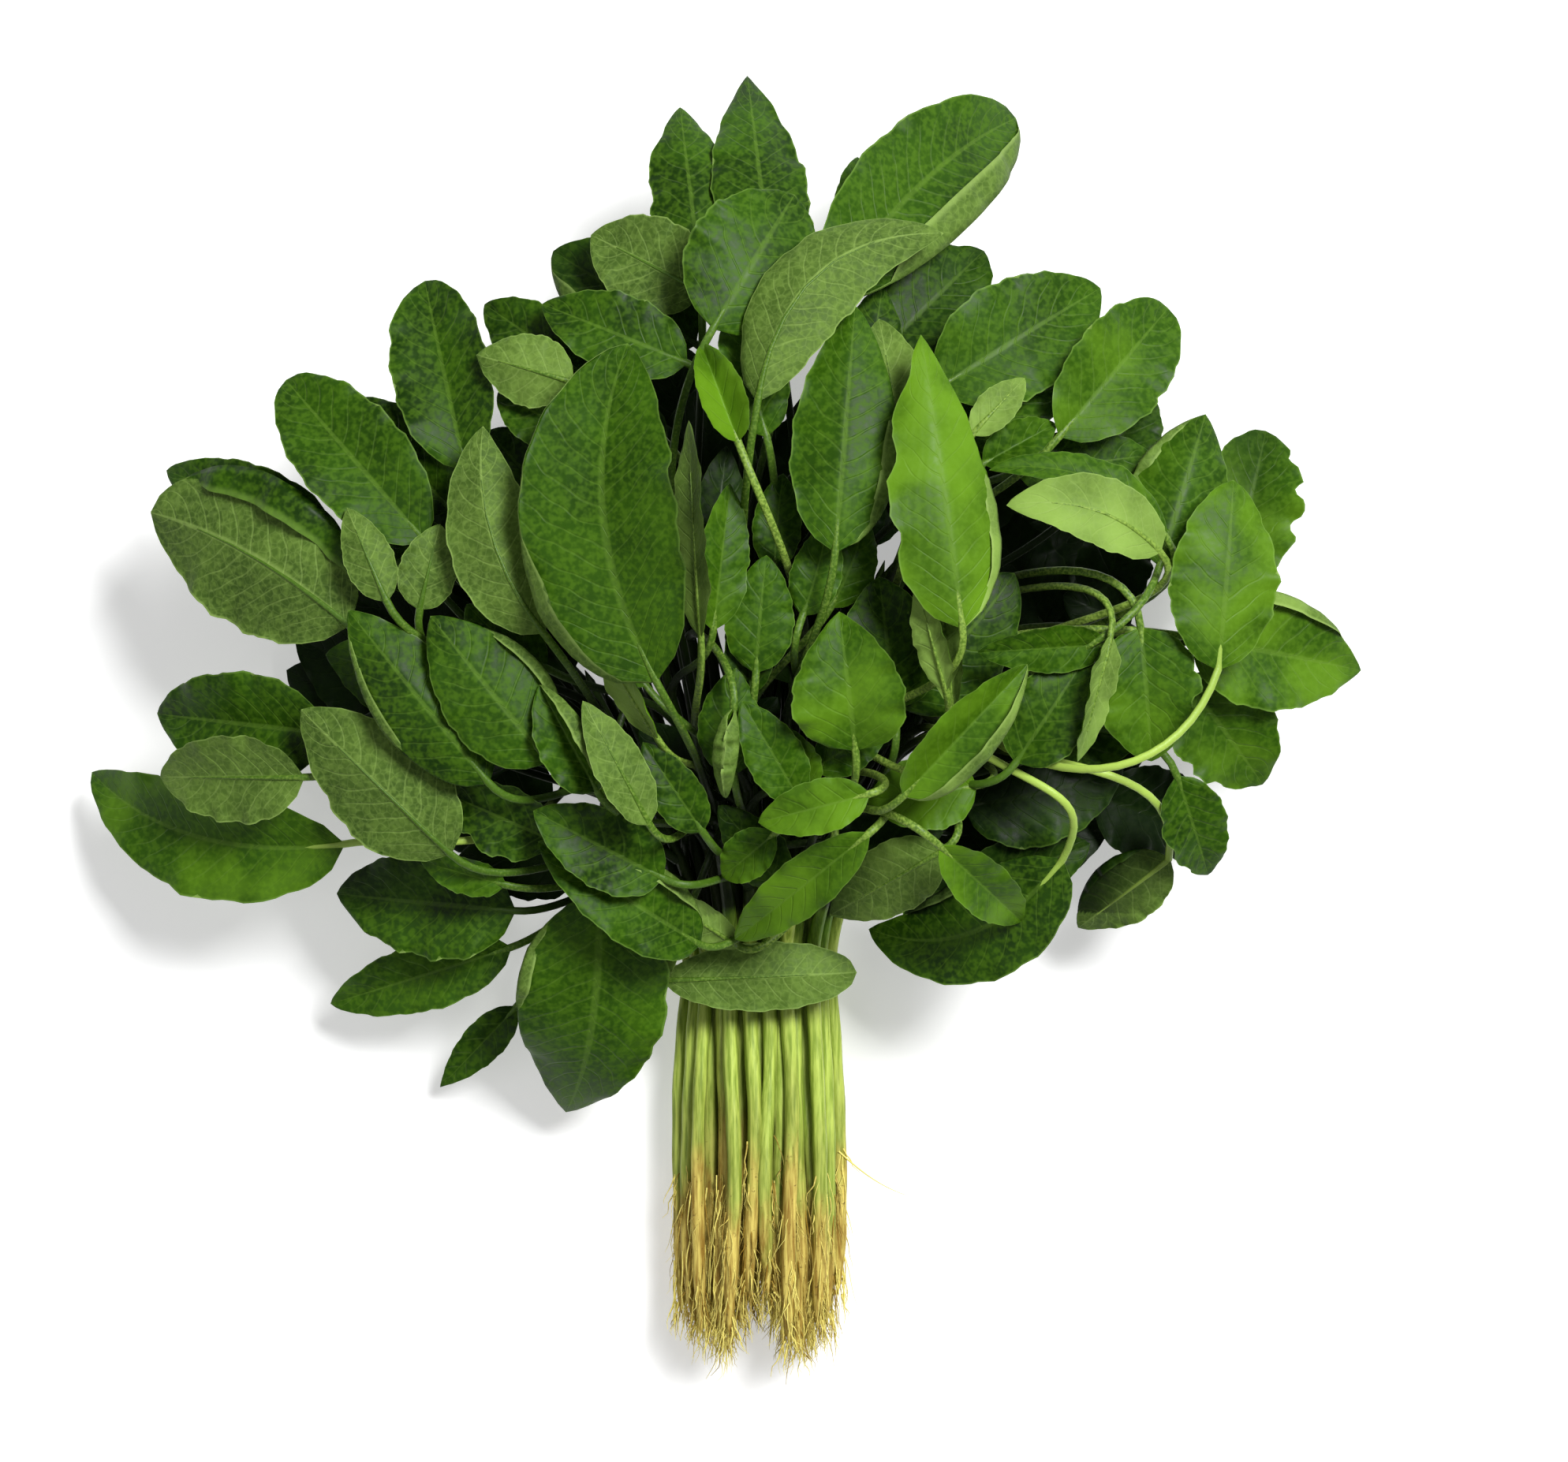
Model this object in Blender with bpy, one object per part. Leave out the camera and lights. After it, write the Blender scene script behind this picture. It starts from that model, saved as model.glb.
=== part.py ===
"""A bunch of amaranth greens lying on a table, seen from above.

Rooted plants stand side by side in a bundle that a tie holds low down. Above the tie their stems
fan out, and the leaves spread from them on long leafstalks in a dome. +Y runs from the roots to
the leaves, +X to the right as seen from above, +Z up from the table. The origin is the middle of
the flat spot under the tie. Lengths are in millimetres until a mesh is made.
"""

import math
import random
from collections import namedtuple

import bmesh
import bpy
import numpy as np
from mathutils.bvhtree import BVHTree

METRES_PER_MM = 0.001

# The bundle of stems at the tie
STEM_RADIUS = 2.0
STEM_PITCH_X = 4.5
STEM_PITCH_Z = 3.8
BUNDLE_HALF_WIDTH = 21.0
BUNDLE_HALF_HEIGHT = 13.0
ROOT_END_Y = -89.0
ROOT_LOBE = 8.0
ROOT_END_SCATTER = 3.0
ROOT_TAPER = 16.0
SPREAD_BELOW_X = 0.16
SPREAD_BELOW_Z = 0.06
STEM_WANDER = 0.25
STEM_SIDES = 5
STEM_STEPS = (0.12, 0.45, 1.0)
STEM_TAPER = (0.3, 1.0, 1.0, 1.0, 0.97, 0.86, 0.6)

# The tie, a flat strip round the bundle
TIE_INNER_HALF_WIDTH = 21.2
TIE_INNER_HALF_HEIGHT = 15.0
TIE_THICKNESS = 1.2
TIE_FROM_Y = -4.0
TIE_TO_Y = 2.0
TIE_FLAT = 0.3
TIE_LEVELLED = 0.1
TIE_STEPS = 32
BUNDLE_Z = TIE_INNER_HALF_HEIGHT + TIE_THICKNESS - TIE_FLAT
TABLE_TOUCH = -0.001
WELD = 0.002

# The dome that the outer leaves lie on
DOME_X = -4.0
DOME_Y = 88.0
DOME_RADIUS_X = 172.0
DOME_RADIUS_AHEAD = 145.0
DOME_RADIUS_BEHIND = 100.0
DOME_RIM_Z = 20.0
DOME_RISE = 66.0
DOME_MIDDLE = np.array([DOME_X, 80.0, 32.0])
DOME_RADII = np.array([120.0, 100.0, 60.0])

# The stem tops, inside the dome
FAN_HALF_WIDTH = 64.0
FAN_REACH = 122.0
FAN_REACH_LOSS = 62.0
FAN_Z = 40.0
FAN_HALF_HEIGHT = 27.0
FAN_SWAY = 5.0
FAN_START_Y = -20.0
FAN_HANDLE = 26.0
FAN_SHOULDER = np.array([0.62, 0.70, 0.55])

# Leaves
BLADE_THICKNESS = 0.7
RIB_THICKNESS = 1.1
STALK_HALF_WIDTH = 1.0
STALK_THICKNESS = 1.8
STALK_NECK = 0.6
CLEARANCE = 0.4
BLADE_STEPS = (0.16, 0.42, 0.72, 0.92)
FILLER_STEPS = (0.24, 0.58, 0.88)
STALK_STEPS = (0.0, 0.5, 1.0)
LONG_STALK_STEPS = (0.0, 0.2, 0.4, 0.6, 0.8, 1.0)
STALK_CLEAR_FROM = 0.2
STALK_CLEAR_TO = 0.03
LOWER_SIDE = (3, 4)
WAVE = 0.035
BLADE_FULLNESS = 0.55
ROLL_WITH_DOME = 0.5
ROLL_SWING = 10.0

# What fitting a leaf tries
DROPS = (0, 2, -2, 4, -4, 7, 10, 13, -6, 17, 21, 26, 31, 37)
TURNS = (0, 6, -6, 13, -13)
ATTACH_STEPS = (0.3, 0.39, 0.48, 0.57, 0.66, 0.75, 0.84, 0.93)
STALK_BOWS = (0.0, 0.14, -0.14, 0.28)
STALK_TRIES = 16
STALK_SHORTEST = 14.0
STALK_LONGEST = 90.0
STALK_LENGTH_BASE = 26.0
STALK_LENGTH_SHARE = 0.8
STALK_HANDLE = 0.33
COST_OF_BEND = 40.0
COST_OF_TURN = 14.0
COST_OF_HEIGHT = 10.0

# Layers of filler leaves: share of the dome's height, inner and outer reach, how many are tried
# and kept at most, and their least and greatest length
FILLER_LAYERS = (
    (0.86, 0.0, 0.98, 260, 16, 30, 56),
    (0.76, 0.0, 0.94, 200, 6, 30, 56),
    (0.66, 0.0, 0.9, 160, 10, 30, 56),
    (0.50, 0.75, 1.05, 90, 12, 30, 56),
    (0.26, 0.75, 1.05, 60, 9, 30, 56),
    (0.02, 0.35, 0.95, 60, 9, 30, 56),
    (0.92, 0.0, 0.6, 160, 11, 18, 30),
    (0.74, 0.0, 0.6, 160, 9, 18, 30),
)
SEEN_SHARE = 0.4
BARE_HALF_WIDTH = 48.0
BARE_TO_Y = 16.0
BARE_FROM_Y = 4.0
GOLDEN_ANGLE = math.pi * (3 - math.sqrt(5))
FILLER_DROPS = (0, 4, 8, 13, 19, 26)
RESTING_BELOW = 0.1
RESTING_STEPS = (0.0, 2.0, 4.0)
FILLER_MIDDLE_Y = 86.0
FILLER_RADIUS_X = 118.0
FILLER_RADIUS_Y = 80.0
FILLER_LOWEST = 2.0
FILLER_OUTWARD = 0.4
FILLER_TURN = 14.0
FILLER_BEND = 0.06
FILLER_NARROW = 0.5
FILLER_WIDE = 0.66

PLANT_COLOUR = (0.11, 0.27, 0.05, 1.0)
TIE_COLOUR = (0.62, 0.55, 0.3, 1.0)

Leaf = namedtuple("Leaf", "name base tip width lift z roll fold arch bend taper face control steps")


def leaf(name, base, tip, width, lift=0.0, z=None, roll=0.0, fold=12.0, arch=0.07, bend=0.0,
         taper=0.8, face=1, control=None, steps=BLADE_STEPS):
    """A leaf blade seen from above: where its base and tip are, and how it is turned and bent.

    lift is the height over the dome, and z the heights of base and tip where they are given
    instead. roll turns the blade about its midrib and fold lifts both its edges, in degrees. arch
    and bend curve the midrib up and to the side, as shares of its length. taper is low on a blunt
    blade and high on a pointed one. face is 1 where the upper side faces up and -1 where the
    underside does. control holds the leafstalk's two control points where it is laid by hand.
    """
    return Leaf(name, base, tip, width, lift, z, roll, fold, arch, bend, taper, face, control,
                steps)


LEAVES = (
    # The crown, at the far end
    leaf("crown_front", (-11, 162), (9, 196), 34, lift=10, roll=-8, fold=-9, taper=0.62),
    leaf("crown_pale", (0, 144), (46, 186), 25, lift=13, bend=0.2, face=-1, fold=-21),
    leaf("crown_long", (17, 170), (66, 220), 32, lift=1, fold=15, bend=0.05, taper=0.62),
    leaf("crown_spear", (3, 179), (-3, 230), 25, lift=1, fold=-12, taper=1.0),
    leaf("crown_left", (-15, 181), (-20, 221), 22, lift=-2, fold=-15, taper=0.85),
    leaf("crown_left_pale", (-14, 172), (-42, 187), 25, lift=-6, face=-1),
    leaf("crown_sliver", (24, 180), (25, 208), 12, lift=-8),
    leaf("crown_low_left", (2, 136), (-6, 168), 18, lift=-4, fold=18),
    leaf("crown_low_right", (27, 146), (31, 174), 17, lift=-8, fold=-15),
    # Upper left
    leaf("young_curl", (-5, 134), (-14, 158), 18, lift=8, fold=50),
    leaf("left_top_low", (-18, 154), (-54, 169), 21, lift=-1),
    leaf("left_top_high", (-16, 160), (-52, 184), 28, lift=-7, fold=21),
    leaf("left_pale_small", (-46, 149), (-70, 156), 19, lift=3, face=-1, fold=-15),
    leaf("left_dark_small", (-45, 136), (-65, 147), 17, lift=-6),
    leaf("left_behind", (-44, 152), (-69, 170), 19, lift=-12),
    leaf("left_deep_high", (-50, 118), (-68, 138), 22, lift=-14),
    leaf("left_deep_mid", (-64, 104), (-78, 130), 20, lift=-16),
    leaf("left_deep_low", (-80, 98), (-98, 121), 20, lift=-14),
    leaf("left_round", (-73, 128), (-84, 176), 27, lift=-5, fold=18, taper=0.62),
    leaf("left_pale_big", (-53, 87), (-68, 138), 25, lift=5, face=-1, fold=-21, bend=0.1),
    leaf("left_upper", (-83, 110), (-119, 151), 28, lift=-4, fold=15, taper=0.62),
    leaf("left_upper_dark", (-77, 118), (-102, 146), 22, lift=-12),
    leaf("left_big", (-102, 89), (-154, 118), 39, lift=-2, face=-1, fold=-12, bend=-0.05, taper=0.62),
    leaf("left_big_behind", (-107, 112), (-151, 129), 20, lift=-11),
    leaf("left_pale_short", (-92, 95), (-102, 118), 13, lift=5, face=-1, fold=-18),
    leaf("left_mid_short", (-84, 93), (-79, 114), 15, lift=-2, face=-1),
    # The middle
    leaf("main_left", (-25, 75), (-32, 158), 43, lift=13, roll=6, fold=14, bend=0.11, taper=0.7),
    leaf("main_left_under", (-28, 74), (-63, 120), 20, lift=2, roll=-20),
    leaf("centre_top", (19, 107), (24, 168), 27, lift=6, fold=-18),
    leaf("bright_front", (50, 88), (40, 160), 29, lift=17, fold=-21, roll=-8, taper=0.95),
    leaf("behind_bright", (37, 126), (30, 165), 20, lift=3, face=-1),
    leaf("pale_upright", (-14, 86), (-17, 139), 16, lift=9, roll=58, face=-1),
    leaf("inner_green", (-11, 88), (-7, 124), 15, lift=-8, roll=-20),
    leaf("twisted_lime", (-25, 61), (-47, 98), 14, lift=7, roll=50, face=-1),
    leaf("centre_bright", (24, 58), (20, 92), 29, lift=4, fold=12, arch=0.12, taper=0.95),
    leaf("centre_behind", (34, 68), (30, 101), 26, lift=-6),
    leaf("hollow_left", (-12, 98), (-8, 134), 15, lift=-10),
    leaf("hollow_low", (-2, 72), (-3, 98), 13, lift=-12),
    leaf("centre_low_left", (10, 46), (-4, 70), 15, lift=-2, fold=15),
    leaf("cup_leaf", (-6, 68), (-8, 46), 20, lift=3, fold=72, arch=0.0),
    leaf("pale_edge_high", (48, 69), (44, 109), 13, lift=11, roll=38, face=-1),
    leaf("pale_edge_low", (46, 73), (39, 99), 11, lift=8, roll=52, face=-1),
    # Upper right
    leaf("right_top_far", (45, 148), (86, 174), 31, lift=-3, fold=15),
    leaf("right_top_shade", (31, 158), (57, 184), 28, lift=-12),
    leaf("right_top_near", (75, 136), (103, 169), 27, lift=3, fold=18, taper=0.62),
    leaf("right_top_low", (46, 132), (77, 157), 26, lift=-3),
    leaf("right_pale_small", (53, 136), (66, 150), 10, lift=7, face=-1),
    leaf("right_round_small", (56, 129), (74, 139), 13, lift=4, fold=30),
    leaf("right_wavy", (65, 127), (99, 132), 18, lift=-1),
    leaf("right_dark", (87, 128), (98, 149), 20, lift=-11),
    leaf("right_fold", (100, 104), (112, 142), 28, lift=1, fold=-27),
    leaf("right_ruffled", (119, 99), (129, 139), 28, lift=-5, fold=21, taper=0.65),
    leaf("right_smooth", (114, 78), (118, 125), 28, lift=12, fold=-9,
         control=((72, 44, 104), (104, 50, 92)), taper=0.7),
    leaf("right_tip", (108, 86), (153, 78), 30, lift=-4, fold=12, taper=0.95),
    leaf("right_low_far", (107, 76), (128, 49), 28, lift=-7),
    leaf("right_low_near", (95, 88), (98, 55), 28, lift=2, fold=15),
    leaf("right_sliver", (87, 86), (79, 55), 14, lift=9, roll=44, face=-1),
    leaf("bright_crescent", (99, 107), (61, 118), 18, lift=13, roll=-18, face=-1, arch=0.12,
         bend=-0.12),
    leaf("arch_band", (101, 111), (57, 127), 13, lift=6, bend=-0.14, roll=-30),
    leaf("dark_small", (94, 89), (77, 97), 17, lift=-12),
    leaf("dark_behind", (86, 94), (95, 119), 20, lift=-13),
    leaf("dark_deep", (73, 88), (58, 120), 24, lift=-22),
    leaf("rim_curve", (86, 84), (54, 82), 13, lift=4, roll=30),
    leaf("mid_right", (64, 55), (82, 82), 21, lift=-2),
    leaf("folded_right", (36, 47), (66, 79), 19, lift=16, fold=33),
    leaf("pale_sliver", (45, 55), (61, 68), 12, lift=11, roll=55, face=-1),
    leaf("right_dark_low", (86, 46), (116, 36), 26, lift=-13),
    leaf("right_edge_low", (105, 51), (114, 26), 18, lift=-8),
    # Lower left
    leaf("left_long", (-67, 50), (-97, 96), 25, lift=3, fold=-21),
    leaf("left_dark", (-52, 55), (-81, 91), 27, lift=-2, fold=-12),
    leaf("cup_left", (-40, 48), (-54, 74), 19, lift=5, fold=42),
    leaf("pale_low_left", (-27, 40), (-43, 70), 14, lift=10, roll=-28, face=-1),
    leaf("left_low_dark", (-108, 62), (-153, 67), 30, lift=-7, fold=18),
    leaf("left_low_pale", (-114, 51), (-152, 51), 24, lift=0, face=-1),
    leaf("left_low_long", (-105, 34), (-173, 52), 30, lift=-8, bend=0.1, fold=15,
         control=((-58, 26, 70), (-84, 38, 64))),
    leaf("left_striped", (-77, 32), (-114, 68), 31, lift=-3, face=-1, fold=-12),
    leaf("left_dark_low", (-51, 35), (-80, 48), 20, lift=-9),
    leaf("left_low_shade", (-62, 17), (-108, 21), 29, lift=-16),
    leaf("left_low_small", (-64, 24), (-85, 30), 11, lift=-6),
    leaf("left_low_leaf", (-64, 7), (-111, -8), 19, z=(30, 14), fold=18),
    leaf("left_low_tip", (-63, -9), (-83, -30), 11, z=(18, 8), taper=1.0),
    # Over and beside the tie
    leaf("hanging_big", (-40, 22), (-50, -36), 40, z=(58, 16), arch=0.12, fold=-16, bend=0.05),
    leaf("hanging_behind", (-22, 12), (-41, -10), 18, z=(44, 22), face=-1),
    leaf("front_dark_left", (-24, 26), (-54, 46), 21, lift=-6),
    leaf("front_dark_mid", (-14, 38), (-33, 56), 13, lift=-4),
    leaf("front_low_dark", (38, 26), (56, 8), 18, z=(52, 38)),
    leaf("front_dark_right", (52, 22), (84, 34), 20, lift=-8),
    leaf("front_low_left", (-15, 9), (-55, 35), 22, z=(56, 68), arch=0.12, fold=15),
    leaf("band_leaf", (-24, -1), (25, 1), 18, z=(37, 36), arch=0.06, face=-1, fold=-12, taper=0.5),
    leaf("front_fold", (-5, 8), (-27, 26), 10, z=(48, 60), face=-1, fold=-21),
    leaf("front_green", (27, 37), (-6, 10), 15, z=(82, 50), fold=18),
    leaf("front_mid", (27, 47), (0, 40), 14, z=(90, 82)),
    leaf("front_young_left", (4, 37), (-9, 26), 13, z=(72, 62), fold=18),
    leaf("front_young_mid", (17, 32), (6, 21), 13, z=(76, 60), fold=18),
    leaf("front_young_high", (12, 48), (5, 64), 14, lift=-6, fold=18),
    leaf("front_grey", (46, 33), (18, 16), 19, z=(74, 48), face=-1, fold=-12),
    leaf("front_right", (45, 34), (68, 17), 15, z=(80, 52), fold=21),
    leaf("front_bright", (54, 49), (27, 45), 20, z=(90, 90), fold=15),
    leaf("right_drape", (76, 30), (28, 12), 27, z=(62, 34), bend=0.16, fold=-9,
         control=((66, 46, 86), (86, 50, 80))),
    leaf("right_hook", (104, 30), (82, 12), 18, z=(44, 24), face=-1, fold=-15,
         control=((74, 52, 84), (106, 56, 74))),
)


def unit(v):
    return v / np.linalg.norm(v)


def dome_height(x, y):
    radius_y = DOME_RADIUS_AHEAD if y > DOME_Y else DOME_RADIUS_BEHIND
    share = ((x - DOME_X) / DOME_RADIUS_X) ** 2 + ((y - DOME_Y) / radius_y) ** 2
    return DOME_RIM_Z + DOME_RISE * math.sqrt(max(0.0, 1.0 - share))


def bezier(points, t):
    """The point at t on the Bezier curve with these control points."""
    points = np.asarray(points, float)
    while len(points) > 1:
        points = points[:-1] * (1 - t) + points[1:] * t
    return points[0]


def bezier_tangent(points, t):
    return unit(bezier(np.diff(np.asarray(points, float), axis=0), t))


# Stems

Plant = namedtuple("Plant", "slot root_y radius sway")


def bundle_slots():
    """Stem centres across the bundle at the tie, in staggered rows."""
    rows = int(BUNDLE_HALF_HEIGHT / STEM_PITCH_Z)
    columns = int(BUNDLE_HALF_WIDTH / STEM_PITCH_X) + 1
    slots = []
    for row in range(-rows, rows + 1):
        z = row * STEM_PITCH_Z
        reach = BUNDLE_HALF_WIDTH * math.sqrt(1 - (z / BUNDLE_HALF_HEIGHT) ** 2)
        shift = 0.5 if row % 2 else 0.0
        for column in range(-columns, columns + 1):
            x = (column + shift) * STEM_PITCH_X
            if abs(x) <= reach:
                slots.append((x, z))
    return slots


def make_plants():
    """The plants, one for each place in the bundle. Their root ends form two lobes."""
    draw = random.Random(11)
    plants = []
    for slot in bundle_slots():
        across = slot[0] / BUNDLE_HALF_WIDTH
        lobe = ROOT_LOBE * math.cos(2 * math.pi * across) * (1 - 0.4 * abs(across))
        root_y = ROOT_END_Y + lobe + draw.uniform(-1, 1) * ROOT_END_SCATTER
        radius = STEM_RADIUS * draw.uniform(0.84, 1.0)
        sway = (draw.uniform(-1, 1), draw.uniform(-1, 1))
        plants.append(Plant(slot, root_y, radius, sway))
    return plants


def stem_below(plant, y):
    """The stem's centre at y, at or below the tie, where the bundle spreads a little."""
    x, z = plant.slot
    down = min(1.0, y / ROOT_END_Y)
    bulge = math.sin(0.75 * math.pi * down)
    wander = STEM_WANDER * math.sin(math.pi * down)
    return np.array([x * (1 + SPREAD_BELOW_X * bulge) + wander * plant.sway[0], y,
                     BUNDLE_Z + z * (1 + SPREAD_BELOW_Z * bulge) + wander * plant.sway[1]])


def stem_above(plant):
    """Control points of the stem's curve above the tie."""
    x, z = plant.slot
    u, w = x / BUNDLE_HALF_WIDTH, z / BUNDLE_HALF_HEIGHT
    start = stem_below(plant, 0.0)
    top = np.array([FAN_HALF_WIDTH * u + FAN_SWAY * plant.sway[0],
                    FAN_REACH - FAN_REACH_LOSS * min(1.0, math.hypot(u, w)) ** 1.6,
                    FAN_Z + FAN_HALF_HEIGHT * w + 0.6 * FAN_SWAY * plant.sway[1]])
    return [start, start + np.array([0, FAN_HANDLE, 0]), start + (top - start) * FAN_SHOULDER, top]


def stem_point(curve, t):
    """The point at t on the straight stretches between the stem's rings."""
    after = next(k for k in range(1, len(STEM_STEPS)) if t <= STEM_STEPS[k])
    low, high = STEM_STEPS[after - 1], STEM_STEPS[after]
    share = (t - low) / (high - low)
    return bezier(curve, low) * (1 - share) + bezier(curve, high) * share


def tube_rows(points, tangents, radii, sides):
    """Rings of points round a path, each ring square to it."""
    rows = []
    angles = np.arange(sides) * 2 * math.pi / sides
    for point, tangent, radius in zip(points, tangents, radii):
        across = unit(np.cross(tangent, (0.0, 0.0, 1.0)))
        up = np.cross(across, tangent)
        rows.append(point + radius * (np.outer(np.cos(angles), across)
                                      + np.outer(np.sin(angles), up)))
    return rows


def skin(rows, flipped=()):
    """Points and faces of the wall through rings that have the same number of points.

    Each quad is split from its first corner to the next ring, or the other way where its place
    round the ring is flipped.
    """
    count = len(rows[0])
    faces = []
    for ring in range(len(rows) - 1):
        for k in range(count):
            a, b = ring * count + k, ring * count + (k + 1) % count
            if k in flipped:
                faces += [(a, b, a + count), (b, b + count, a + count)]
            else:
                faces += [(a, b, b + count), (a, b + count, a + count)]
    return np.concatenate(rows), faces


def end_cap(first, count, outward):
    """Faces that close a ring whose points start at number first."""
    fan = [(first, first + k, first + k + 1) for k in range(1, count - 1)]
    return fan if outward else [face[::-1] for face in fan]


def stem_mesh(plant, grow=0.0):
    """A stem from its root end to its top, as one closed body."""
    below = [plant.root_y, plant.root_y + ROOT_TAPER, ROOT_END_Y / 2, TIE_FROM_Y]
    points = [stem_below(plant, y) for y in below]
    tangents = [np.array([0.0, 1.0, 0.0])] * len(below)
    curve = stem_above(plant)
    for t in STEM_STEPS:
        points.append(bezier(curve, t))
        tangents.append(bezier_tangent(curve, t))
    radii = [plant.radius * share + grow for share in STEM_TAPER]
    vertices, faces = skin(tube_rows(points, tangents, radii, STEM_SIDES))
    last = (len(points) - 1) * STEM_SIDES
    faces = faces + end_cap(0, STEM_SIDES, False) + end_cap(last, STEM_SIDES, True)
    return vertices, faces


# Leaves

def half_width(t, taper):
    """An ovate blade's half width at t along it, as a share of its widest."""
    widest = BLADE_FULLNESS / (BLADE_FULLNESS + taper)
    return (t / widest) ** BLADE_FULLNESS * ((1 - t) / (1 - widest)) ** taper


def end_heights(item, drop):
    """The heights of the blade's base and tip, lowered by drop."""
    heights = item.z or [dome_height(*place) + item.lift for place in (item.base, item.tip)]
    return [height - drop for height in heights]


def blade_curve(item, drop, turn):
    """Control points of the midrib, lowered by drop and turned in plan by turn degrees."""
    low, high = end_heights(item, drop)
    angle = math.radians(turn)
    run = np.subtract(item.tip, item.base)
    run = (run[0] * math.cos(angle) - run[1] * math.sin(angle),
           run[0] * math.sin(angle) + run[1] * math.cos(angle))
    base = np.array([*item.base, low])
    tip = np.array([item.base[0] + run[0], item.base[1] + run[1], high])
    side = unit(np.cross(tip - base, (0.0, 0.0, 1.0)))
    up = unit(np.cross(side, tip - base))
    length = np.linalg.norm(tip - base)
    middle = (base + tip) / 2 + 2 * length * (item.arch * up - item.bend * side)
    return [base, middle, tip]


def blade_roll(item):
    """The blade's roll in radians: its own, a little chance, and part of the dome's slope."""
    along = unit(np.subtract(item.tip, item.base))
    side = np.array([along[1], -along[0]])
    middle = np.add(item.tip, item.base) / 2
    rise = dome_height(*(middle + 10 * side)) - dome_height(*(middle - 10 * side))
    follow = 0.0 if item.z else ROLL_WITH_DOME
    swing = ROLL_SWING * math.sin(item.base[0] + 2 * item.tip[1])
    return math.radians(item.roll + swing) + follow * math.atan(rise / 20)


def cross_frame(tangent, roll):
    """(side, normal) of the blade where its midrib runs along tangent."""
    side = unit(np.cross(tangent, (0.0, 0.0, 1.0)))
    normal = np.cross(side, tangent)
    return (math.cos(roll) * side + math.sin(roll) * normal,
            math.cos(roll) * normal - math.sin(roll) * side)


def wave(item, t, s):
    """How far the blade's edge on side s waves out of its plane at t."""
    phase = item.base[0] * 0.37 + item.tip[1] * 0.23
    swing = math.sin(2 * math.pi * 1.6 * t + phase + s)
    return WAVE * item.width * swing * half_width(t, item.taper)


def blade_row(item, curve, roll, t, grow):
    """Six points across the blade at t: its edges and rib, above and then below."""
    centre, tangent = bezier(curve, t), bezier_tangent(curve, t)
    side, normal = cross_frame(tangent, roll)
    fold = math.radians(item.fold)
    wide = item.width / 2 * half_width(t, item.taper) + grow
    rib = (RIB_THICKNESS + (STALK_THICKNESS - RIB_THICKNESS) * (1 - t) ** 4) / 2 + grow
    edge = BLADE_THICKNESS / 2 + grow
    rib_above, rib_below = (edge, rib) if item.face > 0 else (rib, edge)
    above, below = [], []
    for s in (-1, 0, 1):
        outward = s * math.cos(fold) * side + abs(s) * math.sin(fold) * normal
        face = math.cos(fold) * normal - s * math.sin(fold) * side
        point = centre + wide * outward + abs(s) * wave(item, t, s) * normal
        above.append(point + (edge if s else rib_above) * face)
        below.append(point - (edge if s else rib_below) * face)
    return above + below[::-1]


def stalk_row(curve, roll, t, grow=0.0):
    """Four points round the leafstalk at t: left, top, right and below."""
    point = bezier(curve, t)
    side, normal = cross_frame(bezier_tangent(curve, t), roll * t)
    neck = STALK_NECK + (1 - STALK_NECK) * min(1.0, 4 * t)
    wide, deep = STALK_HALF_WIDTH * neck + grow, STALK_THICKNESS / 2 * neck + grow
    return [point - wide * side, point + deep * normal, point + wide * side,
            point - deep * normal]


def widen_faces(first):
    """Faces between the stalk's last four points, from number first on, and the blade's first six."""
    left, top, right, below = range(first, first + 4)
    a, b, c, d, e, f = range(first + 4, first + 10)
    return [(left, top, b), (left, b, a), (top, right, b), (right, c, b), (right, d, c),
            (right, below, d), (below, e, d), (below, left, e), (left, f, e), (left, a, f)]


def tip_faces(first):
    """Faces between the blade's last six points, from number first on, and the tip's two."""
    a, b, c, d, e, f, upper, lower = range(first, first + 8)
    return [(a, b, upper), (b, c, upper), (c, d, lower), (c, lower, upper),
            (d, e, lower), (e, f, lower), (f, a, upper), (f, upper, lower)]


def leaf_mesh(item, curve, roll, stalk_rows=None, grow=0.0):
    """A leaf as one closed body: its leafstalk's rows of four points, and then its blade."""
    stalk_rows = stalk_rows or [stalk_row(curve, roll, 0.0, grow)]
    stalk, stalk_faces = skin(stalk_rows)
    blade, blade_faces = skin([blade_row(item, curve, roll, t, grow) for t in item.steps],
                              LOWER_SIDE)
    tangent = bezier_tangent(curve, 1.0)
    half = (BLADE_THICKNESS / 2 + grow) * cross_frame(tangent, roll)[1]
    tip = curve[2] + grow * tangent
    vertices = np.concatenate([stalk, blade, [tip + half, tip - half]])
    count = len(stalk)
    faces = stalk_faces + [tuple(corner + count for corner in face) for face in blade_faces]
    faces += end_cap(0, 4, False) + widen_faces(count - 4) + tip_faces(len(vertices) - 8)
    return vertices, faces


def stalk_mesh(item, stalk, roll, grow):
    """The leafstalk alone, from just outside its stem to just before its blade."""
    rows = [np.array(stalk_row(stalk, roll, t, grow)) for t in stalk_steps(item)]
    rows[0] += STALK_CLEAR_FROM * (rows[1] - rows[0])
    rows[-1] += STALK_CLEAR_TO * (rows[-2] - rows[-1])
    vertices, faces = skin(rows)
    return vertices, faces + end_cap(0, 4, False) + end_cap(len(vertices) - 4, 4, True)


def stalk_steps(item):
    """Where the leafstalk's rings stand along its curve."""
    return LONG_STALK_STEPS if item.control else STALK_STEPS


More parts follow.
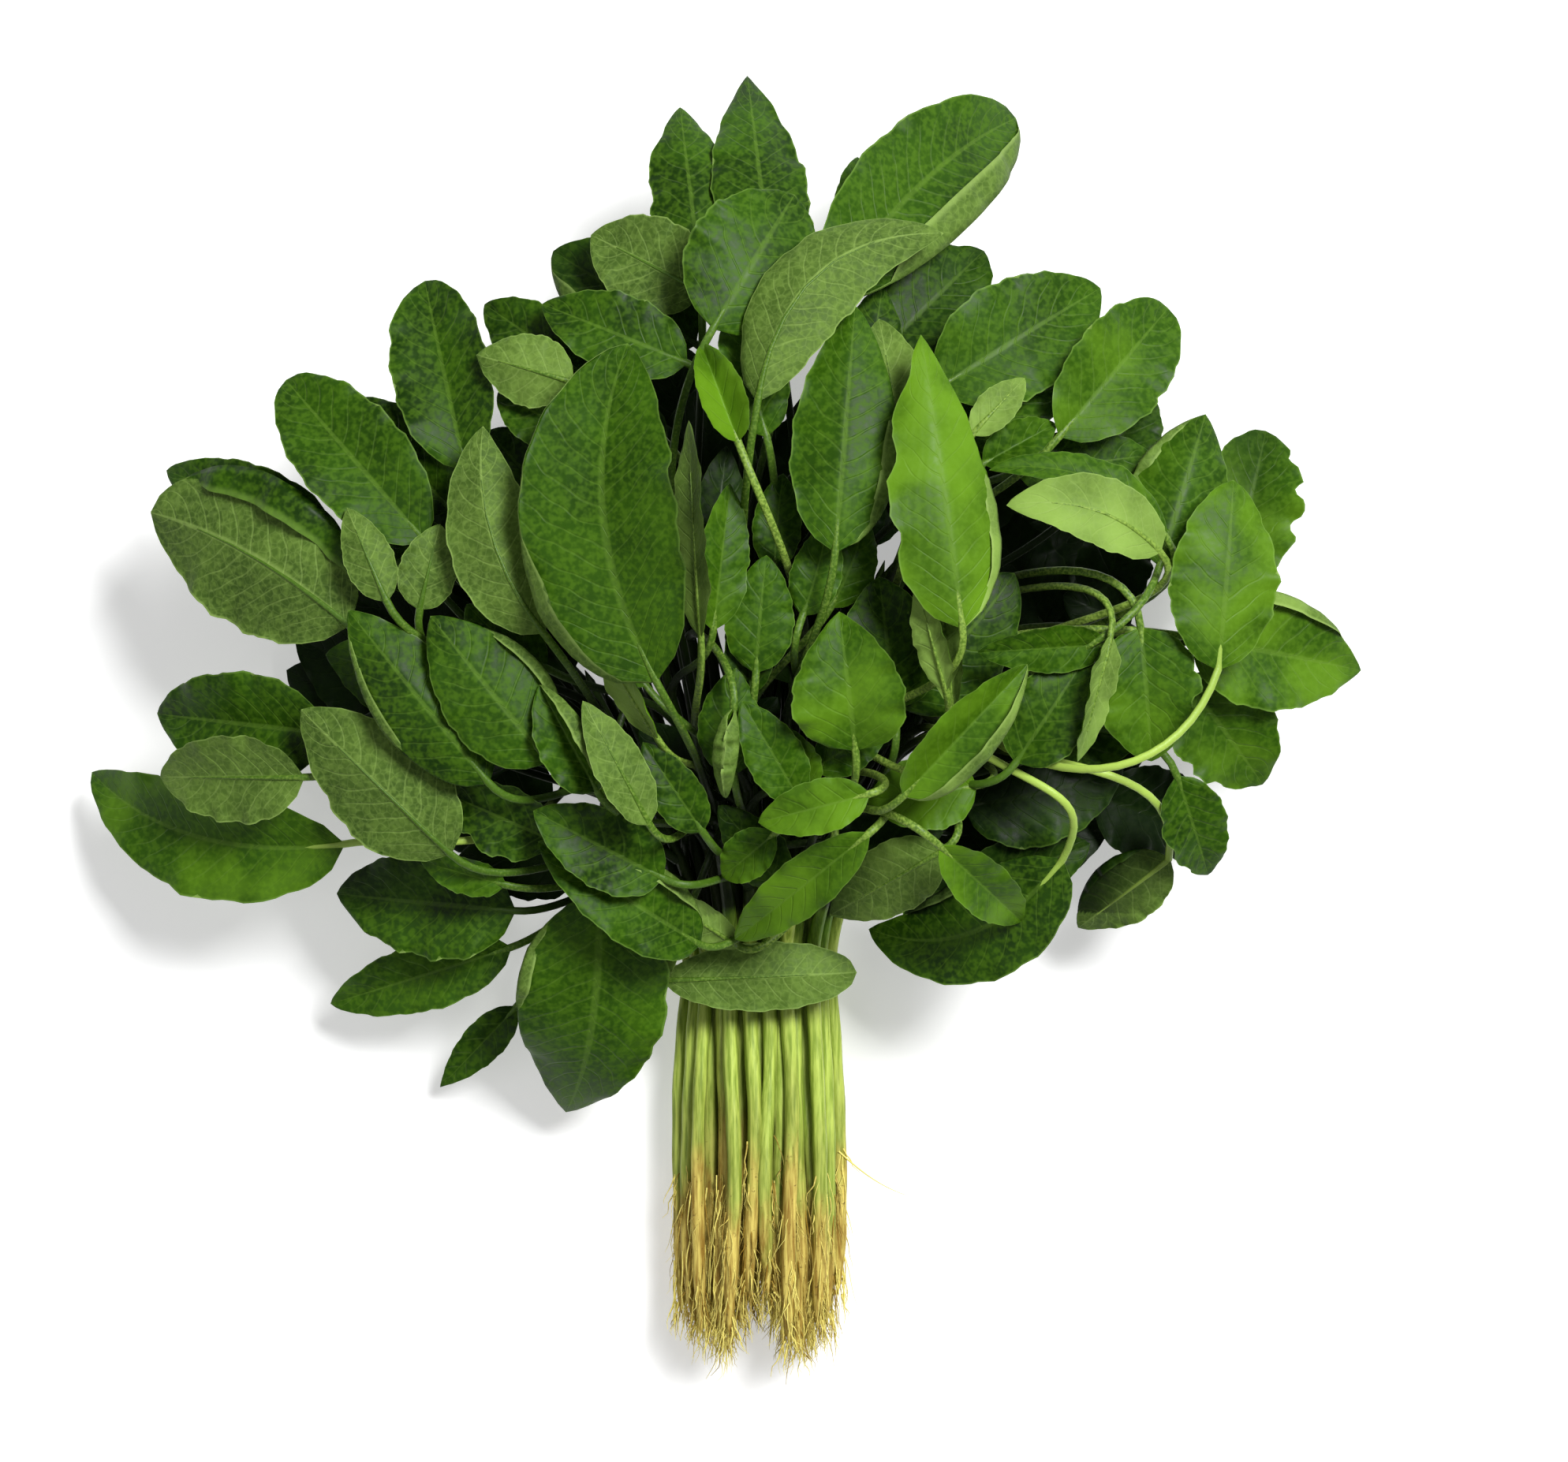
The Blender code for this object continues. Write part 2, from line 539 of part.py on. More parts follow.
def stalk_choices(item, curve, plants):
    """Leafstalk curves to try, the most natural first.

    Each is (plant number, place along its stem, control points).
    """
    base = curve[0]
    back = -bezier_tangent(curve, 0.0)
    wanted = STALK_LENGTH_BASE + STALK_LENGTH_SHARE * item.width
    choices = []
    for number, plant in enumerate(plants):
        stem = stem_above(plant)
        for t in ATTACH_STEPS:
            start = stem_point(stem, t)
            reach = np.linalg.norm(base - start)
            if not STALK_SHORTEST < reach < STALK_LONGEST:
                continue
            straight = (base - start) / reach
            forward = bezier_tangent(stem, t)
            cost = (abs(reach - wanted) + COST_OF_BEND * (1 + straight @ back)
                    + COST_OF_TURN * (1 - straight @ forward) + COST_OF_HEIGHT * t)
            choices.append((cost, number, t, start, forward, reach))
    choices.sort(key=lambda choice: choice[:3])
    for cost, number, t, start, forward, reach in choices[:STALK_TRIES]:
        if item.control:
            yield number, t, [start, *np.asarray(item.control, float), base]
            continue
        straight = (base - start) / reach
        first = start + STALK_HANDLE * reach * unit(0.5 * forward + 0.5 * straight)
        for bow in STALK_BOWS:
            rise = np.array([0, 0, bow * reach])
            last = base + STALK_HANDLE * reach * back
            yield number, t, [start, first + rise, last + rise, base]


# Filler leaves, which cover the sides and the underside and close the gaps between the others

def filler_leaves():
    """For each layer, leaves inside the dome, spread evenly and turned outwards."""
    draw = random.Random(5)
    middle = np.array([DOME_X, FILLER_MIDDLE_Y])
    extent = np.array([FILLER_RADIUS_X, FILLER_RADIUS_Y])
    for layer, (share, inner, outer, count, _, shortest, longest) in enumerate(FILLER_LAYERS):
        fillers = []
        for number in range(count):
            reach = math.sqrt(inner ** 2 + (outer ** 2 - inner ** 2) * (number + 0.5) / count)
            angle = GOLDEN_ANGLE * number + layer
            out = np.array([math.sin(angle), math.cos(angle)])
            tip = middle + out * extent * reach
            from_tie = unit(tip - np.array([0.0, FAN_START_Y]))
            heading = unit((1 - FILLER_OUTWARD) * from_tie + FILLER_OUTWARD * out)
            length = draw.uniform(shortest, longest)
            base = tip - length * heading
            heights = [max(FILLER_LOWEST, share * dome_height(*place)) for place in (base, tip)]
            fillers.append(leaf(f"filler_{layer}_{number:02d}", tuple(base), tuple(tip),
                                draw.uniform(FILLER_NARROW, FILLER_WIDE) * length, z=heights,
                                roll=draw.uniform(-FILLER_TURN, FILLER_TURN),
                                fold=draw.uniform(-FILLER_TURN, FILLER_TURN),
                                bend=draw.uniform(-FILLER_BEND, FILLER_BEND),
                                steps=FILLER_STEPS))
        yield sorted(fillers, key=lambda item: -item.width)


# Fitting the leaves clear of each other

class Space:
    """The bodies placed so far, with a search tree and a box for each.

    joints holds the places on the stems that have a leafstalk.
    """

    def __init__(self):
        self.trees, self.owners, self.lows, self.highs = [], [], [], []
        self.joints = set()

    def add(self, mesh, owner, joint=None):
        vertices, faces = mesh
        self.joints.add((owner[1], joint))
        self.trees.append(BVHTree.FromPolygons(vertices.tolist(), faces))
        self.owners.append(owner)
        self.lows.append(vertices.min(axis=0))
        self.highs.append(vertices.max(axis=0))

    def is_clear(self, mesh, besides=()):
        """Whether mesh crosses nothing placed so far but what the owners in besides have."""
        vertices, faces = mesh
        low, high = vertices.min(axis=0), vertices.max(axis=0)
        if low[2] < TABLE_TOUCH - CLEARANCE:
            return False
        near = np.all(np.array(self.lows) < high, axis=1)
        near &= np.all(np.array(self.highs) > low, axis=1)
        tree = None
        for index in np.nonzero(near)[0]:
            if self.owners[index] in besides:
                continue
            tree = tree or BVHTree.FromPolygons(vertices.tolist(), faces)
            if tree.overlap(self.trees[index]):
                return False
        return True

    def is_seen(self, mesh):
        """Whether the leaf shows from outside the dome, past the leaves placed so far."""
        vertices = mesh[0][::2]
        outward = unit((vertices.mean(axis=0) - DOME_MIDDLE) / DOME_RADII ** 2)
        trees = [tree for tree, owner in zip(self.trees, self.owners) if owner[0] == "leaf"]
        hidden = 0
        for vertex in vertices:
            start = vertex + outward
            hidden += any(tree.ray_cast(start, outward)[0] is not None for tree in trees)
        return hidden <= (1 - SEEN_SHARE) * len(vertices)


def is_off_stems(mesh):
    """Whether the leaf stays clear of the bare stems, seen from above."""
    near = np.abs(mesh[0][:, 0]) < BARE_HALF_WIDTH
    return not np.any(near & (mesh[0][:, 1] < BARE_TO_Y)) and mesh[0][:, 1].min() > BARE_FROM_Y


def front_first(item):
    """Sorting key: leaves whose stalks show in front, and then the others from the top down."""
    middle = np.add(item.tip, item.base) / 2
    return item.control is None, dome_height(*middle) - sum(end_heights(item, 0.0)) / 2


def fit_leaf(item, plants, space, drops):
    """The leaf in the first pose that is clear of the rest: (plant number, joint, mesh)."""
    roll = blade_roll(item)
    poses = [(drop, turn) for drop in drops for turn in TURNS]
    for drop, turn in sorted(poses, key=lambda pose: abs(pose[0]) + abs(pose[1])):
        curve = blade_curve(item, drop, turn)
        sinks = leaf_mesh(item, curve, roll)[0][:, 2].min() < TABLE_TOUCH
        if sinks or not space.is_clear(leaf_mesh(item, curve, roll, grow=CLEARANCE)):
            continue
        for number, joint, stalk in stalk_choices(item, curve, plants):
            trial = stalk_mesh(item, stalk, roll, CLEARANCE)
            if (number, joint) in space.joints or not space.is_clear(trial, [("stem", number)]):
                continue
            rows = [stalk_row(stalk, roll, t) for t in stalk_steps(item)]
            mesh = leaf_mesh(item, curve, roll, rows)
            if mesh[0][:, 2].min() < TABLE_TOUCH:
                continue
            if space.is_clear(mesh, [("stem", number), ("leaf", number)]):
                return number, joint, mesh
    return None


def resting_drops(item):
    """The drop that lays the blade's lowest point on the table, and a few above it."""
    lowest = leaf_mesh(item, blade_curve(item, 0.0, 0.0), blade_roll(item))[0][:, 2].min()
    return [lowest - above for above in RESTING_STEPS]


def grow_leaves(plants):
    """A list of leaf meshes for each plant."""
    space = Space()
    for number, plant in enumerate(plants):
        space.add(stem_mesh(plant), ("stem", number))
    leaves = [[] for _ in plants]
    for item in sorted(LEAVES, key=front_first):
        found = fit_leaf(item, plants, space, DROPS)
        if found is None:
            print("no room for", item.name)
            continue
        number, joint, mesh = found
        leaves[number].append(mesh)
        space.add(mesh, ("leaf", number), joint)
    for fillers, layer in zip(filler_leaves(), FILLER_LAYERS):
        left = layer[4]
        for item in fillers:
            drops = resting_drops(item) if layer[0] < RESTING_BELOW else FILLER_DROPS
            found = fit_leaf(item, plants, space, drops) if left else None
            if found and space.is_seen(found[2]) and is_off_stems(found[2]):
                number, joint, mesh = found
                leaves[number].append(mesh)
                space.add(mesh, ("leaf", number), joint)
                left -= 1
        print("layer", layer[0], "kept", layer[4] - left)
    return leaves


# Objects

def plain_material(name, colour, roughness):
    material = bpy.data.materials.new(name)
    material.use_nodes = True
    shader = material.node_tree.nodes["Principled BSDF"]
    shader.inputs["Base Color"].default_value = colour
    shader.inputs["Roughness"].default_value = roughness
    return material


def add_object(name, mesh, collection):
    vertices, faces = mesh
    data = bpy.data.meshes.new(name)
    data.from_pydata((vertices * METRES_PER_MM).tolist(), [], faces)
    outward = bmesh.new()
    outward.from_mesh(data)
    bmesh.ops.recalc_face_normals(outward, faces=outward.faces)
    outward.to_mesh(data)
    outward.free()
    thing = bpy.data.objects.new(name, data)
    collection.objects.link(thing)
    return thing


def join_leaves(stem, meshes):
    """One Boolean union of the stem with its leaves."""
    if not meshes:
        return
    parts = bpy.data.collections.new("parts")
    bpy.context.scene.collection.children.link(parts)
    for mesh in meshes:
        add_object("leaf", mesh, parts)
    union = stem.modifiers.new("union", "BOOLEAN")
    union.operation = "UNION"
    union.operand_type = "COLLECTION"
    union.collection = parts
    union.solver = "MANIFOLD"
    bpy.context.view_layer.update()
    graph = bpy.context.evaluated_depsgraph_get()
    joined = bpy.data.meshes.new_from_object(stem.evaluated_get(graph))
    stem.modifiers.remove(union)
    welded = bmesh.new()
    welded.from_mesh(joined)
    bmesh.ops.remove_doubles(welded, verts=welded.verts, dist=WELD * METRES_PER_MM)
    welded.to_mesh(joined)
    welded.free()
    stem.data = joined
    for thing in list(parts.objects):
        bpy.data.objects.remove(thing)
    bpy.data.collections.remove(parts)


def add_plants():
    plants = make_plants()
    leaves = grow_leaves(plants)
    for number, plant in enumerate(plants):
        name = f"plant_{number + 1:02d}"
        thing = add_object(name, stem_mesh(plant), bpy.context.scene.collection)
        join_leaves(thing, leaves[number])
        shade = 1 + 0.25 * plant.sway[0]
        colour = (PLANT_COLOUR[0] * shade, PLANT_COLOUR[1] * shade, PLANT_COLOUR[2] * shade, 1)
        thing.data.materials.append(plain_material(name, colour, 0.5))


def add_tie():
    """The strip round the bundle, with a flat spot beneath it."""
    rings = []
    angles = np.arange(TIE_STEPS) * 2 * math.pi / TIE_STEPS
    for y, extra in ((TIE_FROM_Y, 0.0), (TIE_FROM_Y, TIE_THICKNESS),
                     (TIE_TO_Y, TIE_THICKNESS), (TIE_TO_Y, 0.0)):
        x = (TIE_INNER_HALF_WIDTH + extra) * np.cos(angles)
        z = BUNDLE_Z + (TIE_INNER_HALF_HEIGHT + extra) * np.sin(angles)
        z[z < TIE_LEVELLED] = 0.0
        rings.append(np.stack([x, np.full(TIE_STEPS, y), z], axis=1))
    vertices, faces = skin(rings)
    last = 3 * TIE_STEPS
    for k in range(TIE_STEPS):
        a, b = k, (k + 1) % TIE_STEPS
        faces += [(last + a, last + b, b), (last + a, b, a)]
    thing = add_object("tie", (vertices, faces), bpy.context.scene.collection)
    thing.data.materials.append(plain_material("tie", TIE_COLOUR, 0.7))


def main():
    for thing in list(bpy.data.objects):
        bpy.data.objects.remove(thing)
    add_tie()
    add_plants()


main()
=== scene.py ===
"""The amaranth greens bunch, dressed: fine leaves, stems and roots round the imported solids."""
import math
import random
from collections import namedtuple

import bpy
import numpy as np
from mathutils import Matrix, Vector
from mathutils.kdtree import KDTree


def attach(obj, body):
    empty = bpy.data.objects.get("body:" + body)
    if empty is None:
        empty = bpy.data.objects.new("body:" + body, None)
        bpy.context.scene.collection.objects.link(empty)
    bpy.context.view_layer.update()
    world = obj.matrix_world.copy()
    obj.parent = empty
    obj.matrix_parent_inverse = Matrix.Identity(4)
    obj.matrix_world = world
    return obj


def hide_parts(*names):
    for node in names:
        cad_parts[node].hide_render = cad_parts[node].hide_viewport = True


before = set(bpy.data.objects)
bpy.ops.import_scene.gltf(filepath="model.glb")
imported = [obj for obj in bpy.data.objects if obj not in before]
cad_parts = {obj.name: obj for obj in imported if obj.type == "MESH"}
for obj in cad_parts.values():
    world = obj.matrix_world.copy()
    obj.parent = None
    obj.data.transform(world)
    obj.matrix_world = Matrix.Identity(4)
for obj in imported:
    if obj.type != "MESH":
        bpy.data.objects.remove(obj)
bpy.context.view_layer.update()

METRES_PER_MM = 0.001

# The bundle of stems at the tie
STEM_RADIUS = 2.0
STEM_PITCH_X = 4.5
STEM_PITCH_Z = 3.8
BUNDLE_HALF_WIDTH = 21.0
BUNDLE_HALF_HEIGHT = 13.0
ROOT_END_Y = -89.0
ROOT_LOBE = 8.0
ROOT_END_SCATTER = 3.0
ROOT_TAPER = 16.0
SPREAD_BELOW_X = 0.16
SPREAD_BELOW_Z = 0.06
STEM_WANDER = 0.25
STEM_STEPS = (0.12, 0.45, 1.0)

# The tie, a flat strip round the bundle
TIE_INNER_HALF_HEIGHT = 15.0
TIE_THICKNESS = 1.2
TIE_FROM_Y = -4.0
TIE_FLAT = 0.3
BUNDLE_Z = TIE_INNER_HALF_HEIGHT + TIE_THICKNESS - TIE_FLAT

# The dome that the outer leaves lie on
DOME_X = -4.0
DOME_Y = 88.0
DOME_RADIUS_X = 172.0
DOME_RADIUS_AHEAD = 145.0
DOME_RADIUS_BEHIND = 100.0
DOME_RIM_Z = 20.0
DOME_RISE = 66.0

# The stem tops, inside the dome
FAN_HALF_WIDTH = 64.0
FAN_REACH = 122.0
FAN_REACH_LOSS = 62.0
FAN_Z = 40.0
FAN_HALF_HEIGHT = 27.0
FAN_SWAY = 5.0
FAN_START_Y = -20.0
FAN_HANDLE = 26.0
FAN_SHOULDER = np.array([0.62, 0.70, 0.55])

# Leaves
BLADE_THICKNESS = 0.7
RIB_THICKNESS = 1.1
STALK_HALF_WIDTH = 1.0
STALK_THICKNESS = 1.8
STALK_NECK = 0.6
BLADE_STEPS = (0.16, 0.42, 0.72, 0.92)
FILLER_STEPS = (0.24, 0.58, 0.88)
STALK_STEPS = (0.0, 0.5, 1.0)
LONG_STALK_STEPS = (0.0, 0.2, 0.4, 0.6, 0.8, 1.0)
WAVE = 0.035
BLADE_FULLNESS = 0.55
ROLL_WITH_DOME = 0.5
ROLL_SWING = 10.0

# What fitting a leaf tries, and how near a corner of the solids has to be to count as found
FOUND_WITHIN = 0.02
DROPS = (0, 2, -2, 4, -4, 7, 10, 13, -6, 17, 21, 26, 31, 37)
TURNS = (0, 6, -6, 13, -13)
ATTACH_STEPS = (0.3, 0.39, 0.48, 0.57, 0.66, 0.75, 0.84, 0.93)
STALK_BOWS = (0.0, 0.14, -0.14, 0.28)
STALK_TRIES = 16
STALK_SHORTEST = 14.0
STALK_LONGEST = 90.0
STALK_LENGTH_BASE = 26.0
STALK_LENGTH_SHARE = 0.8
STALK_HANDLE = 0.33
COST_OF_BEND = 40.0
COST_OF_TURN = 14.0
COST_OF_HEIGHT = 10.0

# Layers of filler leaves: share of the dome's height, inner and outer reach, how many are tried
# and kept at most, and their least and greatest length
FILLER_LAYERS = (
    (0.86, 0.0, 0.98, 260, 16, 30, 56),
    (0.76, 0.0, 0.94, 200, 6, 30, 56),
    (0.66, 0.0, 0.9, 160, 10, 30, 56),
    (0.50, 0.75, 1.05, 90, 12, 30, 56),
    (0.26, 0.75, 1.05, 60, 9, 30, 56),
    (0.02, 0.35, 0.95, 60, 9, 30, 56),
    (0.92, 0.0, 0.6, 160, 11, 18, 30),
    (0.74, 0.0, 0.6, 160, 9, 18, 30),
)
BARE_TO_Y = 16.0
GOLDEN_ANGLE = math.pi * (3 - math.sqrt(5))
FILLER_DROPS = (0, 4, 8, 13, 19, 26)
RESTING_BELOW = 0.1
RESTING_STEPS = (0.0, 2.0, 4.0)
FILLER_MIDDLE_Y = 86.0
FILLER_RADIUS_X = 118.0
FILLER_RADIUS_Y = 80.0
FILLER_LOWEST = 2.0
FILLER_OUTWARD = 0.4
FILLER_TURN = 14.0
FILLER_BEND = 0.06
FILLER_NARROW = 0.5
FILLER_WIDE = 0.66

# Fine blades
BLADE_ROWS = 34
BLADE_COLUMNS = 21
FOLDED_COLUMNS = 45
FINE_THICKNESS = 0.42
ROW_CROWDING = 0.92
COLUMN_CROWDING = 1.2
RIB_HALF_WIDTH = 0.75
RIB_RISE = 0.2
RIB_FURROW = 0.12
CREASE_SHARE = 0.12
CREASE_LEAST = 0.05
VEIN_SPACING = 5.0
VEINS_LEAST = 5
VEIN_SLANT = 0.42
VEIN_START = 0.35
VEIN_STAGGER = 0.25
QUILT = 0.30
WAVES_ALONG = 1.6
EDGE_RIPPLE = 0.026
RIPPLES_ALONG = (3.2, 5.2)
SMALL_RIPPLES_ALONG = (7, 10)
SMALL_RIPPLE_SHARE = 0.6
# Uneven margins: depth, how many along the blade, and how far one side is ahead of the other
UNEVEN = ((0.022, 5.3, 1.7), (0.014, 11, 2.6))
# The curl of every margin: its least and greatest angle in radians, and where across it starts
CURL_ANGLES = (-0.5, 0.7)
CURL_FROM = 0.78
# Ragged margins: depth as a share of the half width, the side, how many bites, and from where
RAGGED = {
    "main_left": (0.30, -1, 4.4, 0.4), "bright_front": (0.18, -1, 3.6, 0.2),
    "right_ruffled": (0.16, 1, 5.0, 0.2), "right_dark_low": (0.16, 1, 4.6, 0.2),
    "right_low_near": (0.14, -1, 3.8, 0.2), "right_low_far": (0.14, 1, 4.4, 0.2),
    "right_edge_low": (0.16, 1, 4.0, 0.2), "left_dark_low": (0.12, -1, 3.4, 0.2),
    "crown_left": (0.12, -1, 2.6, 0.2),
}
# Margins that fold back over the blade: the side, how wide the strip is as a share of the half
# width, its angle in degrees, and the stretch along the blade that is folded
FOLD_BEND = 0.3
FOLD_LINE = 0.8
LEAST_STRIP = 0.03
FOLDED = {
    "crown_long": ((1, 0.62, 166, 0.15, 1.05),), "crown_front": ((1, 0.3, 150, 0.1, 0.7),),
    "left_top_high": ((-1, 0.5, 162, 0.05, 0.9),), "right_fold": ((-1, 0.5, 162, 0.3, 1.05),),
    "bright_front": ((1, 0.38, 158, -0.1, 0.55),), "centre_top": ((1, 0.5, 162, 0.0, 0.6),),
    "main_left": ((-1, 0.34, 150, -0.1, 0.45),), "left_big": ((1, 0.62, 168, 0.05, 0.9),),
    "right_drape": ((1, 0.4, 150, 0.2, 0.9),), "left_dark": ((1, 0.36, 150, 0.1, 0.8),),
    "cup_leaf": ((-1, 0.4, 120, 0.0, 1.1), (1, 0.4, 120, 0.0, 1.1)),
    "cup_left": ((1, 0.45, 150, 0.0, 1.1),), "left_long": ((-1, 0.4, 150, 0.3, 1.0),),
    "hanging_big": ((1, 0.3, 150, 0.05, 0.5),), "folded_right": ((1, 0.45, 150, 0.0, 1.1),),
    "front_low_left": ((1, 0.45, 160, 0.1, 0.95),), "right_tip": ((-1, 0.3, 150, 0.2, 0.8),),
    "right_hook": ((1, 0.4, 150, 0.1, 0.9),),
}
# Leaves by how light the photograph shows them, from 0 to about 1: partly each leaf's own tone and
# partly painted light and shade, so that the leaves in the hollows and behind others are painted
# darkest
LEAF_TINTS_WITH_PAINTED_LIGHT_AND_SHADE = {name: tint for tint, names in (
    (0.0, "hollow_left hollow_low left_behind dark_deep dark_behind left_deep_high "
          "left_deep_mid left_deep_low dark_small"),
    (0.05, "left_long left_big_behind crown_left_pale"),
    (0.1, "crown_left right_top_shade right_dark left_dark_low left_low_shade left_upper_dark "
          "left_round left_top_low front_dark_left front_dark_mid front_dark_right left_big"),
    (0.15, "crown_spear left_dark left_low_dark centre_behind left_striped"),
    (0.2, "crown_front left_upper left_mid_short"),
    (0.25, "left_top_high left_pale_short cup_left"),
    (0.3, "right_wavy right_dark_low left_pale_big crown_pale"),
    (0.35, "crown_long main_left right_top_far left_low_leaf front_low_left"),
    (0.4, "centre_top right_fold hanging_big left_low_pale right_hook"),
    (0.45, "band_leaf"),
    (0.5, "pale_low_left inner_green left_pale_small"),
    (0.6, "left_low_long right_top_near front_young_high arch_band front_grey"),
    (0.65, "right_low_near"),
    (0.7, "right_ruffled right_low_far front_young_left front_fold"),
    (0.75, "right_smooth centre_bright right_tip folded_right"),
    (0.8, "front_right right_sliver"),
    (0.9, "front_green front_young_mid pale_upright pale_edge_high pale_edge_low pale_sliver "
          "right_pale_small"),
    (0.95, "bright_front young_curl front_mid twisted_lime"),
    (1.0, "front_bright bright_crescent"),
) for name in names.split()}
STALK_TINT_LAID = 1.6

# Leafstalks and stems
STALK_ROWS = 18
STALK_COLUMNS = 8
MIDRIB_STEPS = (0.03, 0.08, 0.16, 0.28, 0.42, 0.58, 0.75)
RIB_BELOW = 0.35
STALK_SWELL = 0.5
CHANNEL_DEPTH = 0.35
STEM_ROWS_BELOW = 26
STEM_ROWS_ABOVE = 24
STEM_COLUMNS = 12
STEM_DRIFT = 1.7
STEM_TINT_TURN = 0.35
STEM_RIDGES = 0.05
STEM_KNOTS = 0.05
STEM_NARROWS = 0.4
STEM_TOP_RADIUS = 0.1

# Roots
ROOTLETS = 46
ROOTLET_ROWS = 8
ROOTLET_COLUMNS = 4
ROOT_ZONE = 42.0
ROOT_LOW = 0.4
ROOTLET_LENGTHS = (5, 22)
ROOTLET_RADII = (0.13, 0.3)
STRAY_ROOT_RADIUS = 0.28
STRAY_ROOT_TINT = 1.1
STRAY_ROOT = ((20.5, -46, 17.5), (25, -50, 17), (30, -55, 12), (38, -58, 8))
STRAY_ROOT_BEYOND = 17.5

# Painted shade: how the colour darkens inside the dome
PAINTED_SHADE_FROM = 5.0
PAINTED_SHADE_SPAN = 19.0

# The studio
FLOOR_HALF_SIDE = 3.0
FLOOR_GLOW = 0.42
SKY_STRENGTH = 0.2
LIGHTS = (
    ("key", (0.85, 0.9, 1.95), 0.7, 72.0),
    ("fill", (-0.9, -0.3, 1.3), 1.2, 4.0),
)
LIGHT_TARGET = (0.0, 0.06, 0.04)
CAMERA_LENS = 135.0
CAMERA_SENSOR = 36.0
CAMERA_PLACE = (0.0064, 0.0626, 1.536)

Leaf = namedtuple("Leaf", "name base tip width lift z roll fold arch bend taper face control "
                          "steps")


def leaf(name, base, tip, width, lift=0.0, z=None, roll=0.0, fold=12.0, arch=0.07, bend=0.0,
         taper=0.8, face=1, control=None, steps=BLADE_STEPS):
    """A leaf blade seen from above: where its base and tip are, and how it is turned and bent.

    lift is the height over the dome, and z the heights of base and tip where they are given
    instead. roll turns the blade about its midrib and fold lifts both its edges, in degrees. arch
    and bend curve the midrib up and to the side, as shares of its length. taper is low on a blunt
    blade and high on a pointed one. face is 1 where the upper side faces up and -1 where the
    underside does. control holds the leafstalk's two control points where they are given.
    """
    return Leaf(name, base, tip, width, lift, z, roll, fold, arch, bend, taper, face, control,
                steps)


